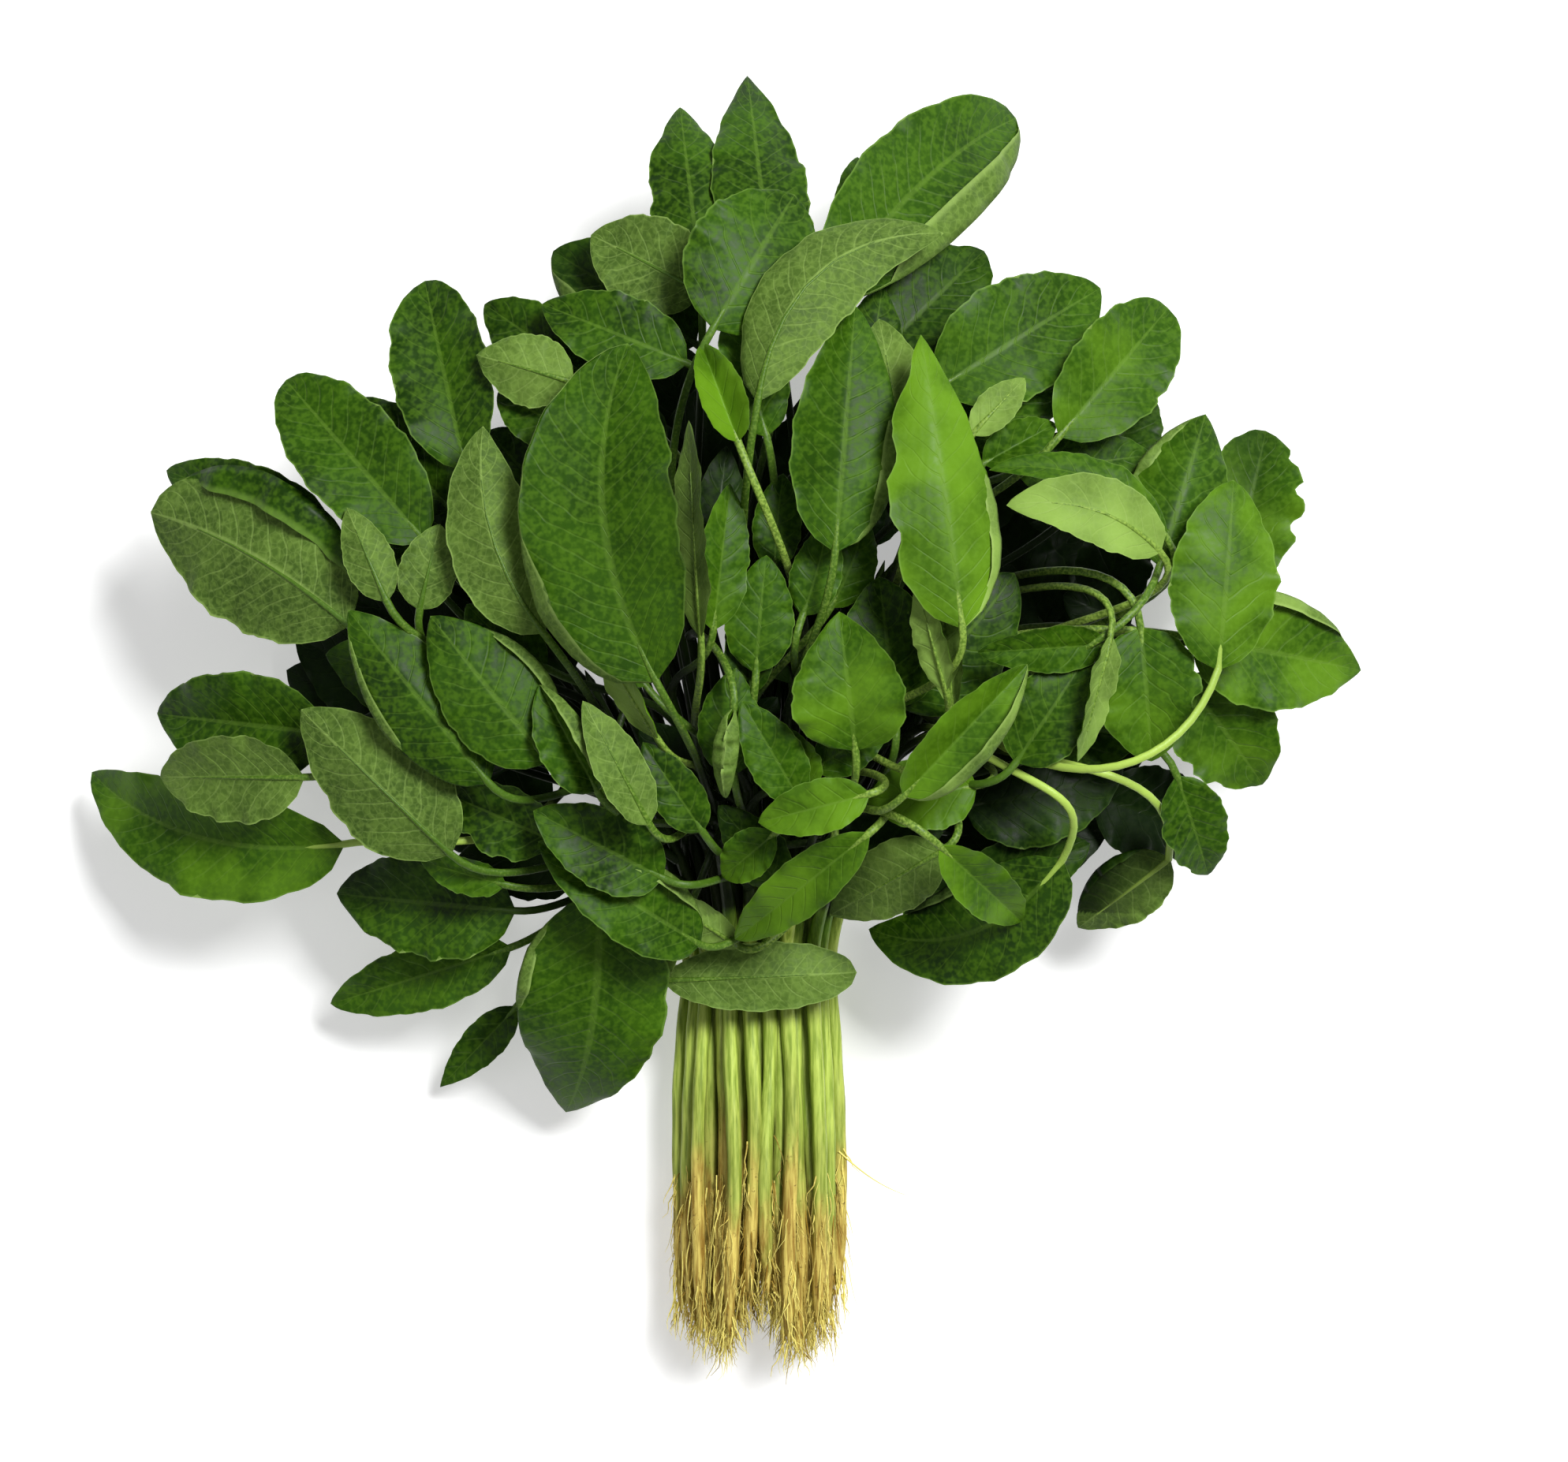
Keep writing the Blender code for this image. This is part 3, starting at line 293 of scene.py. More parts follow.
LEAVES = (
    # The crown, at the far end
    leaf("crown_front", (-11, 162), (9, 196), 34, lift=10, roll=-8, fold=-9, taper=0.62),
    leaf("crown_pale", (0, 144), (46, 186), 25, lift=13, bend=0.2, face=-1, fold=-21),
    leaf("crown_long", (17, 170), (66, 220), 32, lift=1, fold=15, bend=0.05, taper=0.62),
    leaf("crown_spear", (3, 179), (-3, 230), 25, lift=1, fold=-12, taper=1.0),
    leaf("crown_left", (-15, 181), (-20, 221), 22, lift=-2, fold=-15, taper=0.85),
    leaf("crown_left_pale", (-14, 172), (-42, 187), 25, lift=-6, face=-1),
    leaf("crown_sliver", (24, 180), (25, 208), 12, lift=-8),
    leaf("crown_low_left", (2, 136), (-6, 168), 18, lift=-4, fold=18),
    leaf("crown_low_right", (27, 146), (31, 174), 17, lift=-8, fold=-15),
    # Upper left
    leaf("young_curl", (-5, 134), (-14, 158), 18, lift=8, fold=50),
    leaf("left_top_low", (-18, 154), (-54, 169), 21, lift=-1),
    leaf("left_top_high", (-16, 160), (-52, 184), 28, lift=-7, fold=21),
    leaf("left_pale_small", (-46, 149), (-70, 156), 19, lift=3, face=-1, fold=-15),
    leaf("left_dark_small", (-45, 136), (-65, 147), 17, lift=-6),
    leaf("left_behind", (-44, 152), (-69, 170), 19, lift=-12),
    leaf("left_deep_high", (-50, 118), (-68, 138), 22, lift=-14),
    leaf("left_deep_mid", (-64, 104), (-78, 130), 20, lift=-16),
    leaf("left_deep_low", (-80, 98), (-98, 121), 20, lift=-14),
    leaf("left_round", (-73, 128), (-84, 176), 27, lift=-5, fold=18, taper=0.62),
    leaf("left_pale_big", (-53, 87), (-68, 138), 25, lift=5, face=-1, fold=-21, bend=0.1),
    leaf("left_upper", (-83, 110), (-119, 151), 28, lift=-4, fold=15, taper=0.62),
    leaf("left_upper_dark", (-77, 118), (-102, 146), 22, lift=-12),
    leaf("left_big", (-102, 89), (-154, 118), 39, lift=-2, face=-1, fold=-12, bend=-0.05,
         taper=0.62),
    leaf("left_big_behind", (-107, 112), (-151, 129), 20, lift=-11),
    leaf("left_pale_short", (-92, 95), (-102, 118), 13, lift=5, face=-1, fold=-18),
    leaf("left_mid_short", (-84, 93), (-79, 114), 15, lift=-2, face=-1),
    # The middle
    leaf("main_left", (-25, 75), (-32, 158), 43, lift=13, roll=6, fold=14, bend=0.11, taper=0.7),
    leaf("main_left_under", (-28, 74), (-63, 120), 20, lift=2, roll=-20),
    leaf("centre_top", (19, 107), (24, 168), 27, lift=6, fold=-18),
    leaf("bright_front", (50, 88), (40, 160), 29, lift=17, fold=-21, roll=-8, taper=0.95),
    leaf("behind_bright", (37, 126), (30, 165), 20, lift=3, face=-1),
    leaf("pale_upright", (-14, 86), (-17, 139), 16, lift=9, roll=58, face=-1),
    leaf("inner_green", (-11, 88), (-7, 124), 15, lift=-8, roll=-20),
    leaf("twisted_lime", (-25, 61), (-47, 98), 14, lift=7, roll=50, face=-1),
    leaf("centre_bright", (24, 58), (20, 92), 29, lift=4, fold=12, arch=0.12, taper=0.95),
    leaf("centre_behind", (34, 68), (30, 101), 26, lift=-6),
    leaf("hollow_left", (-12, 98), (-8, 134), 15, lift=-10),
    leaf("hollow_low", (-2, 72), (-3, 98), 13, lift=-12),
    leaf("centre_low_left", (10, 46), (-4, 70), 15, lift=-2, fold=15),
    leaf("cup_leaf", (-6, 68), (-8, 46), 20, lift=3, fold=72, arch=0.0),
    leaf("pale_edge_high", (48, 69), (44, 109), 13, lift=11, roll=38, face=-1),
    leaf("pale_edge_low", (46, 73), (39, 99), 11, lift=8, roll=52, face=-1),
    # Upper right
    leaf("right_top_far", (45, 148), (86, 174), 31, lift=-3, fold=15),
    leaf("right_top_shade", (31, 158), (57, 184), 28, lift=-12),
    leaf("right_top_near", (75, 136), (103, 169), 27, lift=3, fold=18, taper=0.62),
    leaf("right_top_low", (46, 132), (77, 157), 26, lift=-3),
    leaf("right_pale_small", (53, 136), (66, 150), 10, lift=7, face=-1),
    leaf("right_round_small", (56, 129), (74, 139), 13, lift=4, fold=30),
    leaf("right_wavy", (65, 127), (99, 132), 18, lift=-1),
    leaf("right_dark", (87, 128), (98, 149), 20, lift=-11),
    leaf("right_fold", (100, 104), (112, 142), 28, lift=1, fold=-27),
    leaf("right_ruffled", (119, 99), (129, 139), 28, lift=-5, fold=21, taper=0.65),
    leaf("right_smooth", (114, 78), (118, 125), 28, lift=12, fold=-9,
         control=((72, 44, 104), (104, 50, 92)), taper=0.7),
    leaf("right_tip", (108, 86), (153, 78), 30, lift=-4, fold=12, taper=0.95),
    leaf("right_low_far", (107, 76), (128, 49), 28, lift=-7),
    leaf("right_low_near", (95, 88), (98, 55), 28, lift=2, fold=15),
    leaf("right_sliver", (87, 86), (79, 55), 14, lift=9, roll=44, face=-1),
    leaf("bright_crescent", (99, 107), (61, 118), 18, lift=13, roll=-18, face=-1, arch=0.12,
         bend=-0.12),
    leaf("arch_band", (101, 111), (57, 127), 13, lift=6, bend=-0.14, roll=-30),
    leaf("dark_small", (94, 89), (77, 97), 17, lift=-12),
    leaf("dark_behind", (86, 94), (95, 119), 20, lift=-13),
    leaf("dark_deep", (73, 88), (58, 120), 24, lift=-22),
    leaf("rim_curve", (86, 84), (54, 82), 13, lift=4, roll=30),
    leaf("mid_right", (64, 55), (82, 82), 21, lift=-2),
    leaf("folded_right", (36, 47), (66, 79), 19, lift=16, fold=33),
    leaf("pale_sliver", (45, 55), (61, 68), 12, lift=11, roll=55, face=-1),
    leaf("right_dark_low", (86, 46), (116, 36), 26, lift=-13),
    leaf("right_edge_low", (105, 51), (114, 26), 18, lift=-8),
    # Lower left
    leaf("left_long", (-67, 50), (-97, 96), 25, lift=3, fold=-21),
    leaf("left_dark", (-52, 55), (-81, 91), 27, lift=-2, fold=-12),
    leaf("cup_left", (-40, 48), (-54, 74), 19, lift=5, fold=42),
    leaf("pale_low_left", (-27, 40), (-43, 70), 14, lift=10, roll=-28, face=-1),
    leaf("left_low_dark", (-108, 62), (-153, 67), 30, lift=-7, fold=18),
    leaf("left_low_pale", (-114, 51), (-152, 51), 24, lift=0, face=-1),
    leaf("left_low_long", (-105, 34), (-173, 52), 30, lift=-8, bend=0.1, fold=15,
         control=((-58, 26, 70), (-84, 38, 64))),
    leaf("left_striped", (-77, 32), (-114, 68), 31, lift=-3, face=-1, fold=-12),
    leaf("left_dark_low", (-51, 35), (-80, 48), 20, lift=-9),
    leaf("left_low_shade", (-62, 17), (-108, 21), 29, lift=-16),
    leaf("left_low_small", (-64, 24), (-85, 30), 11, lift=-6),
    leaf("left_low_leaf", (-64, 7), (-111, -8), 19, z=(30, 14), fold=18),
    leaf("left_low_tip", (-63, -9), (-83, -30), 11, z=(18, 8), taper=1.0),
    # Over and beside the tie
    leaf("hanging_big", (-40, 22), (-50, -36), 40, z=(58, 16), arch=0.12, fold=-16, bend=0.05),
    leaf("hanging_behind", (-22, 12), (-41, -10), 18, z=(44, 22), face=-1),
    leaf("front_dark_left", (-24, 26), (-54, 46), 21, lift=-6),
    leaf("front_dark_mid", (-14, 38), (-33, 56), 13, lift=-4),
    leaf("front_low_dark", (38, 26), (56, 8), 18, z=(52, 38)),
    leaf("front_dark_right", (52, 22), (84, 34), 20, lift=-8),
    leaf("front_low_left", (-15, 9), (-55, 35), 22, z=(56, 68), arch=0.12, fold=15),
    leaf("band_leaf", (-24, -1), (25, 1), 18, z=(37, 36), arch=0.06, face=-1, fold=-12, taper=0.5),
    leaf("front_fold", (-5, 8), (-27, 26), 10, z=(48, 60), face=-1, fold=-21),
    leaf("front_green", (27, 37), (-6, 10), 15, z=(82, 50), fold=18),
    leaf("front_mid", (27, 47), (0, 40), 14, z=(90, 82)),
    leaf("front_young_left", (4, 37), (-9, 26), 13, z=(72, 62), fold=18),
    leaf("front_young_mid", (17, 32), (6, 21), 13, z=(76, 60), fold=18),
    leaf("front_young_high", (12, 48), (5, 64), 14, lift=-6, fold=18),
    leaf("front_grey", (46, 33), (18, 16), 19, z=(74, 48), face=-1, fold=-12),
    leaf("front_right", (45, 34), (68, 17), 15, z=(80, 52), fold=21),
    leaf("front_bright", (54, 49), (27, 45), 20, z=(90, 90), fold=15),
    leaf("right_drape", (76, 30), (28, 12), 27, z=(62, 34), bend=0.16, fold=-9,
         control=((66, 46, 86), (86, 50, 80))),
    leaf("right_hook", (104, 30), (82, 12), 18, z=(44, 24), face=-1, fold=-15,
         control=((74, 52, 84), (106, 56, 74))),
)


def unit(v):
    return v / np.linalg.norm(v)


def dome_height(x, y):
    radius_y = DOME_RADIUS_AHEAD if y > DOME_Y else DOME_RADIUS_BEHIND
    share = ((x - DOME_X) / DOME_RADIUS_X) ** 2 + ((y - DOME_Y) / radius_y) ** 2
    return DOME_RIM_Z + DOME_RISE * math.sqrt(max(0.0, 1.0 - share))


def bezier(points, t):
    """The point at t on the Bezier curve with these control points."""
    points = np.asarray(points, float)
    while len(points) > 1:
        points = points[:-1] * (1 - t) + points[1:] * t
    return points[0]


def bezier_tangent(points, t):
    return unit(bezier(np.diff(np.asarray(points, float), axis=0), t))


# Stems

Plant = namedtuple("Plant", "slot root_y radius sway")


def bundle_slots():
    """Stem centres across the bundle at the tie, in staggered rows."""
    rows = int(BUNDLE_HALF_HEIGHT / STEM_PITCH_Z)
    columns = int(BUNDLE_HALF_WIDTH / STEM_PITCH_X) + 1
    slots = []
    for row in range(-rows, rows + 1):
        z = row * STEM_PITCH_Z
        reach = BUNDLE_HALF_WIDTH * math.sqrt(1 - (z / BUNDLE_HALF_HEIGHT) ** 2)
        shift = 0.5 if row % 2 else 0.0
        for column in range(-columns, columns + 1):
            x = (column + shift) * STEM_PITCH_X
            if abs(x) <= reach:
                slots.append((x, z))
    return slots


def make_plants():
    """The plants, one for each place in the bundle. Their root ends form two lobes."""
    draw = random.Random(11)
    plants = []
    for slot in bundle_slots():
        across = slot[0] / BUNDLE_HALF_WIDTH
        lobe = ROOT_LOBE * math.cos(2 * math.pi * across) * (1 - 0.4 * abs(across))
        root_y = ROOT_END_Y + lobe + draw.uniform(-1, 1) * ROOT_END_SCATTER
        radius = STEM_RADIUS * draw.uniform(0.84, 1.0)
        sway = (draw.uniform(-1, 1), draw.uniform(-1, 1))
        plants.append(Plant(slot, root_y, radius, sway))
    return plants


def stem_below(plant, y):
    """The stem's centre at y, at or below the tie, where the bundle spreads a little."""
    x, z = plant.slot
    down = min(1.0, y / ROOT_END_Y)
    bulge = math.sin(0.75 * math.pi * down)
    wander = STEM_WANDER * math.sin(math.pi * down)
    return np.array([x * (1 + SPREAD_BELOW_X * bulge) + wander * plant.sway[0], y,
                     BUNDLE_Z + z * (1 + SPREAD_BELOW_Z * bulge) + wander * plant.sway[1]])


def stem_above(plant):
    """Control points of the stem's curve above the tie."""
    x, z = plant.slot
    u, w = x / BUNDLE_HALF_WIDTH, z / BUNDLE_HALF_HEIGHT
    start = stem_below(plant, 0.0)
    top = np.array([FAN_HALF_WIDTH * u + FAN_SWAY * plant.sway[0],
                    FAN_REACH - FAN_REACH_LOSS * min(1.0, math.hypot(u, w)) ** 1.6,
                    FAN_Z + FAN_HALF_HEIGHT * w + 0.6 * FAN_SWAY * plant.sway[1]])
    return [start, start + np.array([0, FAN_HANDLE, 0]), start + (top - start) * FAN_SHOULDER, top]


def stem_point(curve, t):
    """The point at t on the straight stretches between the stem's rings."""
    after = next(k for k in range(1, len(STEM_STEPS)) if t <= STEM_STEPS[k])
    low, high = STEM_STEPS[after - 1], STEM_STEPS[after]
    share = (t - low) / (high - low)
    return bezier(curve, low) * (1 - share) + bezier(curve, high) * share


# Leaves

def half_width(t, taper):
    """An ovate blade's half width at t along it, as a share of its widest."""
    widest = BLADE_FULLNESS / (BLADE_FULLNESS + taper)
    return (t / widest) ** BLADE_FULLNESS * ((1 - t) / (1 - widest)) ** taper


def end_heights(item, drop):
    """The heights of the blade's base and tip, lowered by drop."""
    heights = item.z or [dome_height(*place) + item.lift for place in (item.base, item.tip)]
    return [height - drop for height in heights]


def blade_curve(item, drop, turn):
    """Control points of the midrib, lowered by drop and turned in plan by turn degrees."""
    low, high = end_heights(item, drop)
    angle = math.radians(turn)
    run = np.subtract(item.tip, item.base)
    run = (run[0] * math.cos(angle) - run[1] * math.sin(angle),
           run[0] * math.sin(angle) + run[1] * math.cos(angle))
    base = np.array([*item.base, low])
    tip = np.array([item.base[0] + run[0], item.base[1] + run[1], high])
    side = unit(np.cross(tip - base, (0.0, 0.0, 1.0)))
    up = unit(np.cross(side, tip - base))
    length = np.linalg.norm(tip - base)
    middle = (base + tip) / 2 + 2 * length * (item.arch * up - item.bend * side)
    return [base, middle, tip]


def blade_roll(item):
    """The blade's roll in radians: its own, a little chance, and part of the dome's slope."""
    along = unit(np.subtract(item.tip, item.base))
    side = np.array([along[1], -along[0]])
    middle = np.add(item.tip, item.base) / 2
    rise = dome_height(*(middle + 10 * side)) - dome_height(*(middle - 10 * side))
    follow = 0.0 if item.z else ROLL_WITH_DOME
    swing = ROLL_SWING * math.sin(item.base[0] + 2 * item.tip[1])
    return math.radians(item.roll + swing) + follow * math.atan(rise / 20)


def cross_frame(tangent, roll):
    """(side, normal) of the blade where its midrib runs along tangent."""
    side = unit(np.cross(tangent, (0.0, 0.0, 1.0)))
    normal = np.cross(side, tangent)
    return (math.cos(roll) * side + math.sin(roll) * normal,
            math.cos(roll) * normal - math.sin(roll) * side)


def wave(item, t, s):
    """How far the blade's edge on side s waves out of its plane at t."""
    phase = item.base[0] * 0.37 + item.tip[1] * 0.23
    swing = math.sin(2 * math.pi * WAVES_ALONG * t + phase + s)
    return WAVE * item.width * swing * half_width(t, item.taper)


def blade_row(item, curve, roll, t):
    """Six points across the blade at t: its edges and rib, above and then below."""
    centre, tangent = bezier(curve, t), bezier_tangent(curve, t)
    side, normal = cross_frame(tangent, roll)
    fold = math.radians(item.fold)
    wide = item.width / 2 * half_width(t, item.taper)
    rib = (RIB_THICKNESS + (STALK_THICKNESS - RIB_THICKNESS) * (1 - t) ** 4) / 2
    edge = BLADE_THICKNESS / 2
    rib_above, rib_below = (edge, rib) if item.face > 0 else (rib, edge)
    above, below = [], []
    for s in (-1, 0, 1):
        outward = s * math.cos(fold) * side + abs(s) * math.sin(fold) * normal
        face = math.cos(fold) * normal - s * math.sin(fold) * side
        point = centre + wide * outward + abs(s) * wave(item, t, s) * normal
        above.append(point + (edge if s else rib_above) * face)
        below.append(point - (edge if s else rib_below) * face)
    return above + below[::-1]


def stalk_row(curve, roll, t):
    """Four points round the leafstalk at t: left, top, right and below."""
    point = bezier(curve, t)
    side, normal = cross_frame(bezier_tangent(curve, t), roll * t)
    neck = STALK_NECK + (1 - STALK_NECK) * min(1.0, 4 * t)
    wide, deep = STALK_HALF_WIDTH * neck, STALK_THICKNESS / 2 * neck
    return [point - wide * side, point + deep * normal, point + wide * side,
            point - deep * normal]


def stalk_steps(item):
    """Where the leafstalk's rings stand along its curve."""
    return LONG_STALK_STEPS if item.control else STALK_STEPS


def stalk_choices(item, curve, plants):
    """Leafstalk curves to try, the most natural first.

    Each is (plant number, control points).
    """
    base = curve[0]
    back = -bezier_tangent(curve, 0.0)
    wanted = STALK_LENGTH_BASE + STALK_LENGTH_SHARE * item.width
    choices = []
    for number, plant in enumerate(plants):
        stem = stem_above(plant)
        for t in ATTACH_STEPS:
            start = stem_point(stem, t)
            reach = np.linalg.norm(base - start)
            if not STALK_SHORTEST < reach < STALK_LONGEST:
                continue
            straight = (base - start) / reach
            forward = bezier_tangent(stem, t)
            cost = (abs(reach - wanted) + COST_OF_BEND * (1 + straight @ back)
                    + COST_OF_TURN * (1 - straight @ forward) + COST_OF_HEIGHT * t)
            choices.append((cost, number, t, start, forward, reach))
    choices.sort(key=lambda choice: choice[:3])
    for cost, number, t, start, forward, reach in choices[:STALK_TRIES]:
        if item.control:
            yield number, [start, *np.asarray(item.control, float), base]
            continue
        straight = (base - start) / reach
        first = start + STALK_HANDLE * reach * unit(0.5 * forward + 0.5 * straight)
        for bow in STALK_BOWS:
            rise = np.array([0, 0, bow * reach])
            last = base + STALK_HANDLE * reach * back
            yield number, [start, first + rise, last + rise, base]


def filler_leaves():
    """For each layer, leaves inside the dome, spread evenly and turned outwards."""
    draw = random.Random(5)
    middle = np.array([DOME_X, FILLER_MIDDLE_Y])
    extent = np.array([FILLER_RADIUS_X, FILLER_RADIUS_Y])
    for layer, (share, inner, outer, count, _, shortest, longest) in enumerate(FILLER_LAYERS):
        fillers = []
        for number in range(count):
            reach = math.sqrt(inner ** 2 + (outer ** 2 - inner ** 2) * (number + 0.5) / count)
            angle = GOLDEN_ANGLE * number + layer
            out = np.array([math.sin(angle), math.cos(angle)])
            tip = middle + out * extent * reach
            from_tie = unit(tip - np.array([0.0, FAN_START_Y]))
            heading = unit((1 - FILLER_OUTWARD) * from_tie + FILLER_OUTWARD * out)
            length = draw.uniform(shortest, longest)
            base = tip - length * heading
            heights = [max(FILLER_LOWEST, share * dome_height(*place)) for place in (base, tip)]
            fillers.append(leaf(f"filler_{layer}_{number:02d}", tuple(base), tuple(tip),
                                draw.uniform(FILLER_NARROW, FILLER_WIDE) * length, z=heights,
                                roll=draw.uniform(-FILLER_TURN, FILLER_TURN),
                                fold=draw.uniform(-FILLER_TURN, FILLER_TURN),
                                bend=draw.uniform(-FILLER_BEND, FILLER_BEND),
                                steps=FILLER_STEPS))
        yield sorted(fillers, key=lambda item: -item.width)


def resting_drops(item):
    """The drop that lays the blade's lowest point on the table, and a few above it."""
    curve, roll = blade_curve(item, 0.0, 0.0), blade_roll(item)
    half = BLADE_THICKNESS / 2 * cross_frame(bezier_tangent(curve, 1.0), roll)[1]
    corners = [*stalk_row(curve, roll, 0.0), curve[2] + half, curve[2] - half]
    for t in item.steps:
        corners += blade_row(item, curve, roll, t)
    lowest = min(corner[2] for corner in corners)
    return [lowest - above for above in RESTING_STEPS]


# Finding where the solids hold each leaf

class Solids:
    """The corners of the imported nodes, in millimetres, each with its node's name."""

    def __init__(self):
        corners = []
        for name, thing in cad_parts.items():
            for corner in thing.data.vertices:
                corners.append((np.array(corner.co) / METRES_PER_MM, name))
        self.names = [name for _, name in corners]
        self.tree = KDTree(len(corners))
        for number, (place, _) in enumerate(corners):
            self.tree.insert(place, number)
        self.tree.balance()

    def node_at(self, point):
        """The node with a corner at point, or None."""
        _, number, distance = self.tree.find(point)
        return self.names[number] if distance < FOUND_WITHIN else None

    def has(self, points, node):
        """Whether nearly all of the points are corners of the node."""
        found = sum(self.node_at(point) == node for point in points)
        return found >= len(points) - 1


def plant_name(number):
    return f"plant_{number + 1:02d}"


def find_leaf(item, plants, solids, drops):
    """(plant number, midrib curve, leafstalk curve) of the leaf, or None where it was dropped."""
    roll = blade_roll(item)
    for drop in drops:
        for turn in TURNS:
            curve = blade_curve(item, drop, turn)
            half = BLADE_THICKNESS / 2 * cross_frame(bezier_tangent(curve, 1.0), roll)[1]
            node = solids.node_at(curve[2] + half)
            if node is None or not solids.has(blade_row(item, curve, roll, item.steps[0]), node):
                continue
            for number, stalk in stalk_choices(item, curve, plants):
                if node != plant_name(number):
                    continue
                if solids.has(stalk_row(stalk, roll, stalk_steps(item)[1]), node):
                    return number, curve, stalk
    return None


Found = namedtuple("Found", "item plant curve stalk")


def find_leaves(plants):
    """Where the solids hold each leaf, without those that found no room."""
    solids = Solids()
    wanted = [(item, DROPS) for item in LEAVES]
    for fillers, layer in zip(filler_leaves(), FILLER_LAYERS):
        for item in fillers:
            rests = layer[0] < RESTING_BELOW
            wanted.append((item, resting_drops(item) if rests else FILLER_DROPS))
    places = [(item, find_leaf(item, plants, solids, drops)) for item, drops in wanted]
    return [Found(item, *place) for item, place in places if place]


# Fine meshes

MARKS = ("along", "across", "vein", "tint")
UPPER, UNDER, STALK, STEM, ROOT = range(5)


class Surface:
    """Vertices, faces, material numbers and attributes of one piece as it is put together."""

    def __init__(self):
        self.points, self.faces, self.numbers = [], [], []
        self.marks = {name: [] for name in MARKS}
        self.count = 0

    def add_sheet(self, grid, number, closed=False, flip=False, **marks):
        """A grid of points, as quads. closed joins its last column to its first."""
        rows, columns = grid.shape[:2]
        self.points.append(grid.reshape(-1, 3))
        for name in MARKS:
            value = np.broadcast_to(marks.get(name, 0.0), (rows, columns))
            self.marks[name].append(value.reshape(-1))
        row, column = np.meshgrid(np.arange(rows - 1), np.arange(columns - (not closed)),
                                  indexing="ij")
        here = self.count + row * columns + column
        beside = self.count + row * columns + (column + 1) % columns
        quads = np.stack([here, beside, beside + columns, here + columns], axis=-1).reshape(-1, 4)
        self.faces.append(quads[:, ::-1] if flip else quads)
        self.numbers.append(np.full(len(quads), number))
        self.count += rows * columns

    def make(self, name, materials):
        mesh = bpy.data.meshes.new(name)
        points = np.concatenate(self.points)
        mesh.from_pydata((points * METRES_PER_MM).tolist(), [],
                         np.concatenate(self.faces).tolist())
        mesh.polygons.foreach_set("material_index", np.concatenate(self.numbers).astype(np.int32))
        mesh.polygons.foreach_set("use_smooth", np.ones(len(mesh.polygons), bool))
        values = {mark: np.concatenate(value) for mark, value in self.marks.items()}
        # The depth inside the bunch, which the materials use to paint shade
        values["depth"] = painted_shade_depth(points)
        for mark, value in values.items():
            layer = mesh.attributes.new(mark, "FLOAT", "POINT")
            layer.data.foreach_set("value", value.astype(np.float32))
        for material in materials:
            mesh.materials.append(material)
        mesh.update()
        thing = bpy.data.objects.new(name, mesh)
        bpy.context.scene.collection.objects.link(thing)
        return thing


def painted_shade_depth(points):
    """How deep each point is inside the bunch, from 0 near the dome to 1: the mask of the painted
    shade.
    """
    x, y, z = points.T
    radius_y = np.where(y > DOME_Y, DOME_RADIUS_AHEAD, DOME_RADIUS_BEHIND)
    share = ((x - DOME_X) / DOME_RADIUS_X) ** 2 + ((y - DOME_Y) / radius_y) ** 2
    dome = DOME_RIM_Z + DOME_RISE * np.sqrt(np.clip(1 - share, 0, 1))
    return np.clip((dome - PAINTED_SHADE_FROM - z) / PAINTED_SHADE_SPAN, 0, 1) * (y > BARE_TO_Y)


def curve_frames(points, steps, rolls):
    """Arrays of the centres, sides and normals along a curve."""
    frames = [cross_frame(bezier_tangent(points, t), roll) for t, roll in zip(steps, rolls)]
    centres = np.array([bezier(points, t) for t in steps])
    return centres, np.array([side for side, _ in frames]), np.array([up for _, up in frames])


def margins(item, t, s, draw):
    """The share of the full width that each point keeps: uneven edges, ragged on some leaves."""
    side = np.sign(s)
    kept = 1.0
    for depth, count, ahead in UNEVEN:
        kept = kept + depth * np.sin(2 * math.pi * count * t + draw.uniform(0, 6) + ahead * side)
    if item.name in RAGGED:
        depth, ragged_side, teeth, first = RAGGED[item.name]
        bites = np.clip(np.sin(2 * math.pi * teeth * t + 0.9), 0, 1) ** 0.7
        kept = kept - depth * bites * (side == ragged_side) * np.clip(6 * (t - first), 0, 1)
    return kept


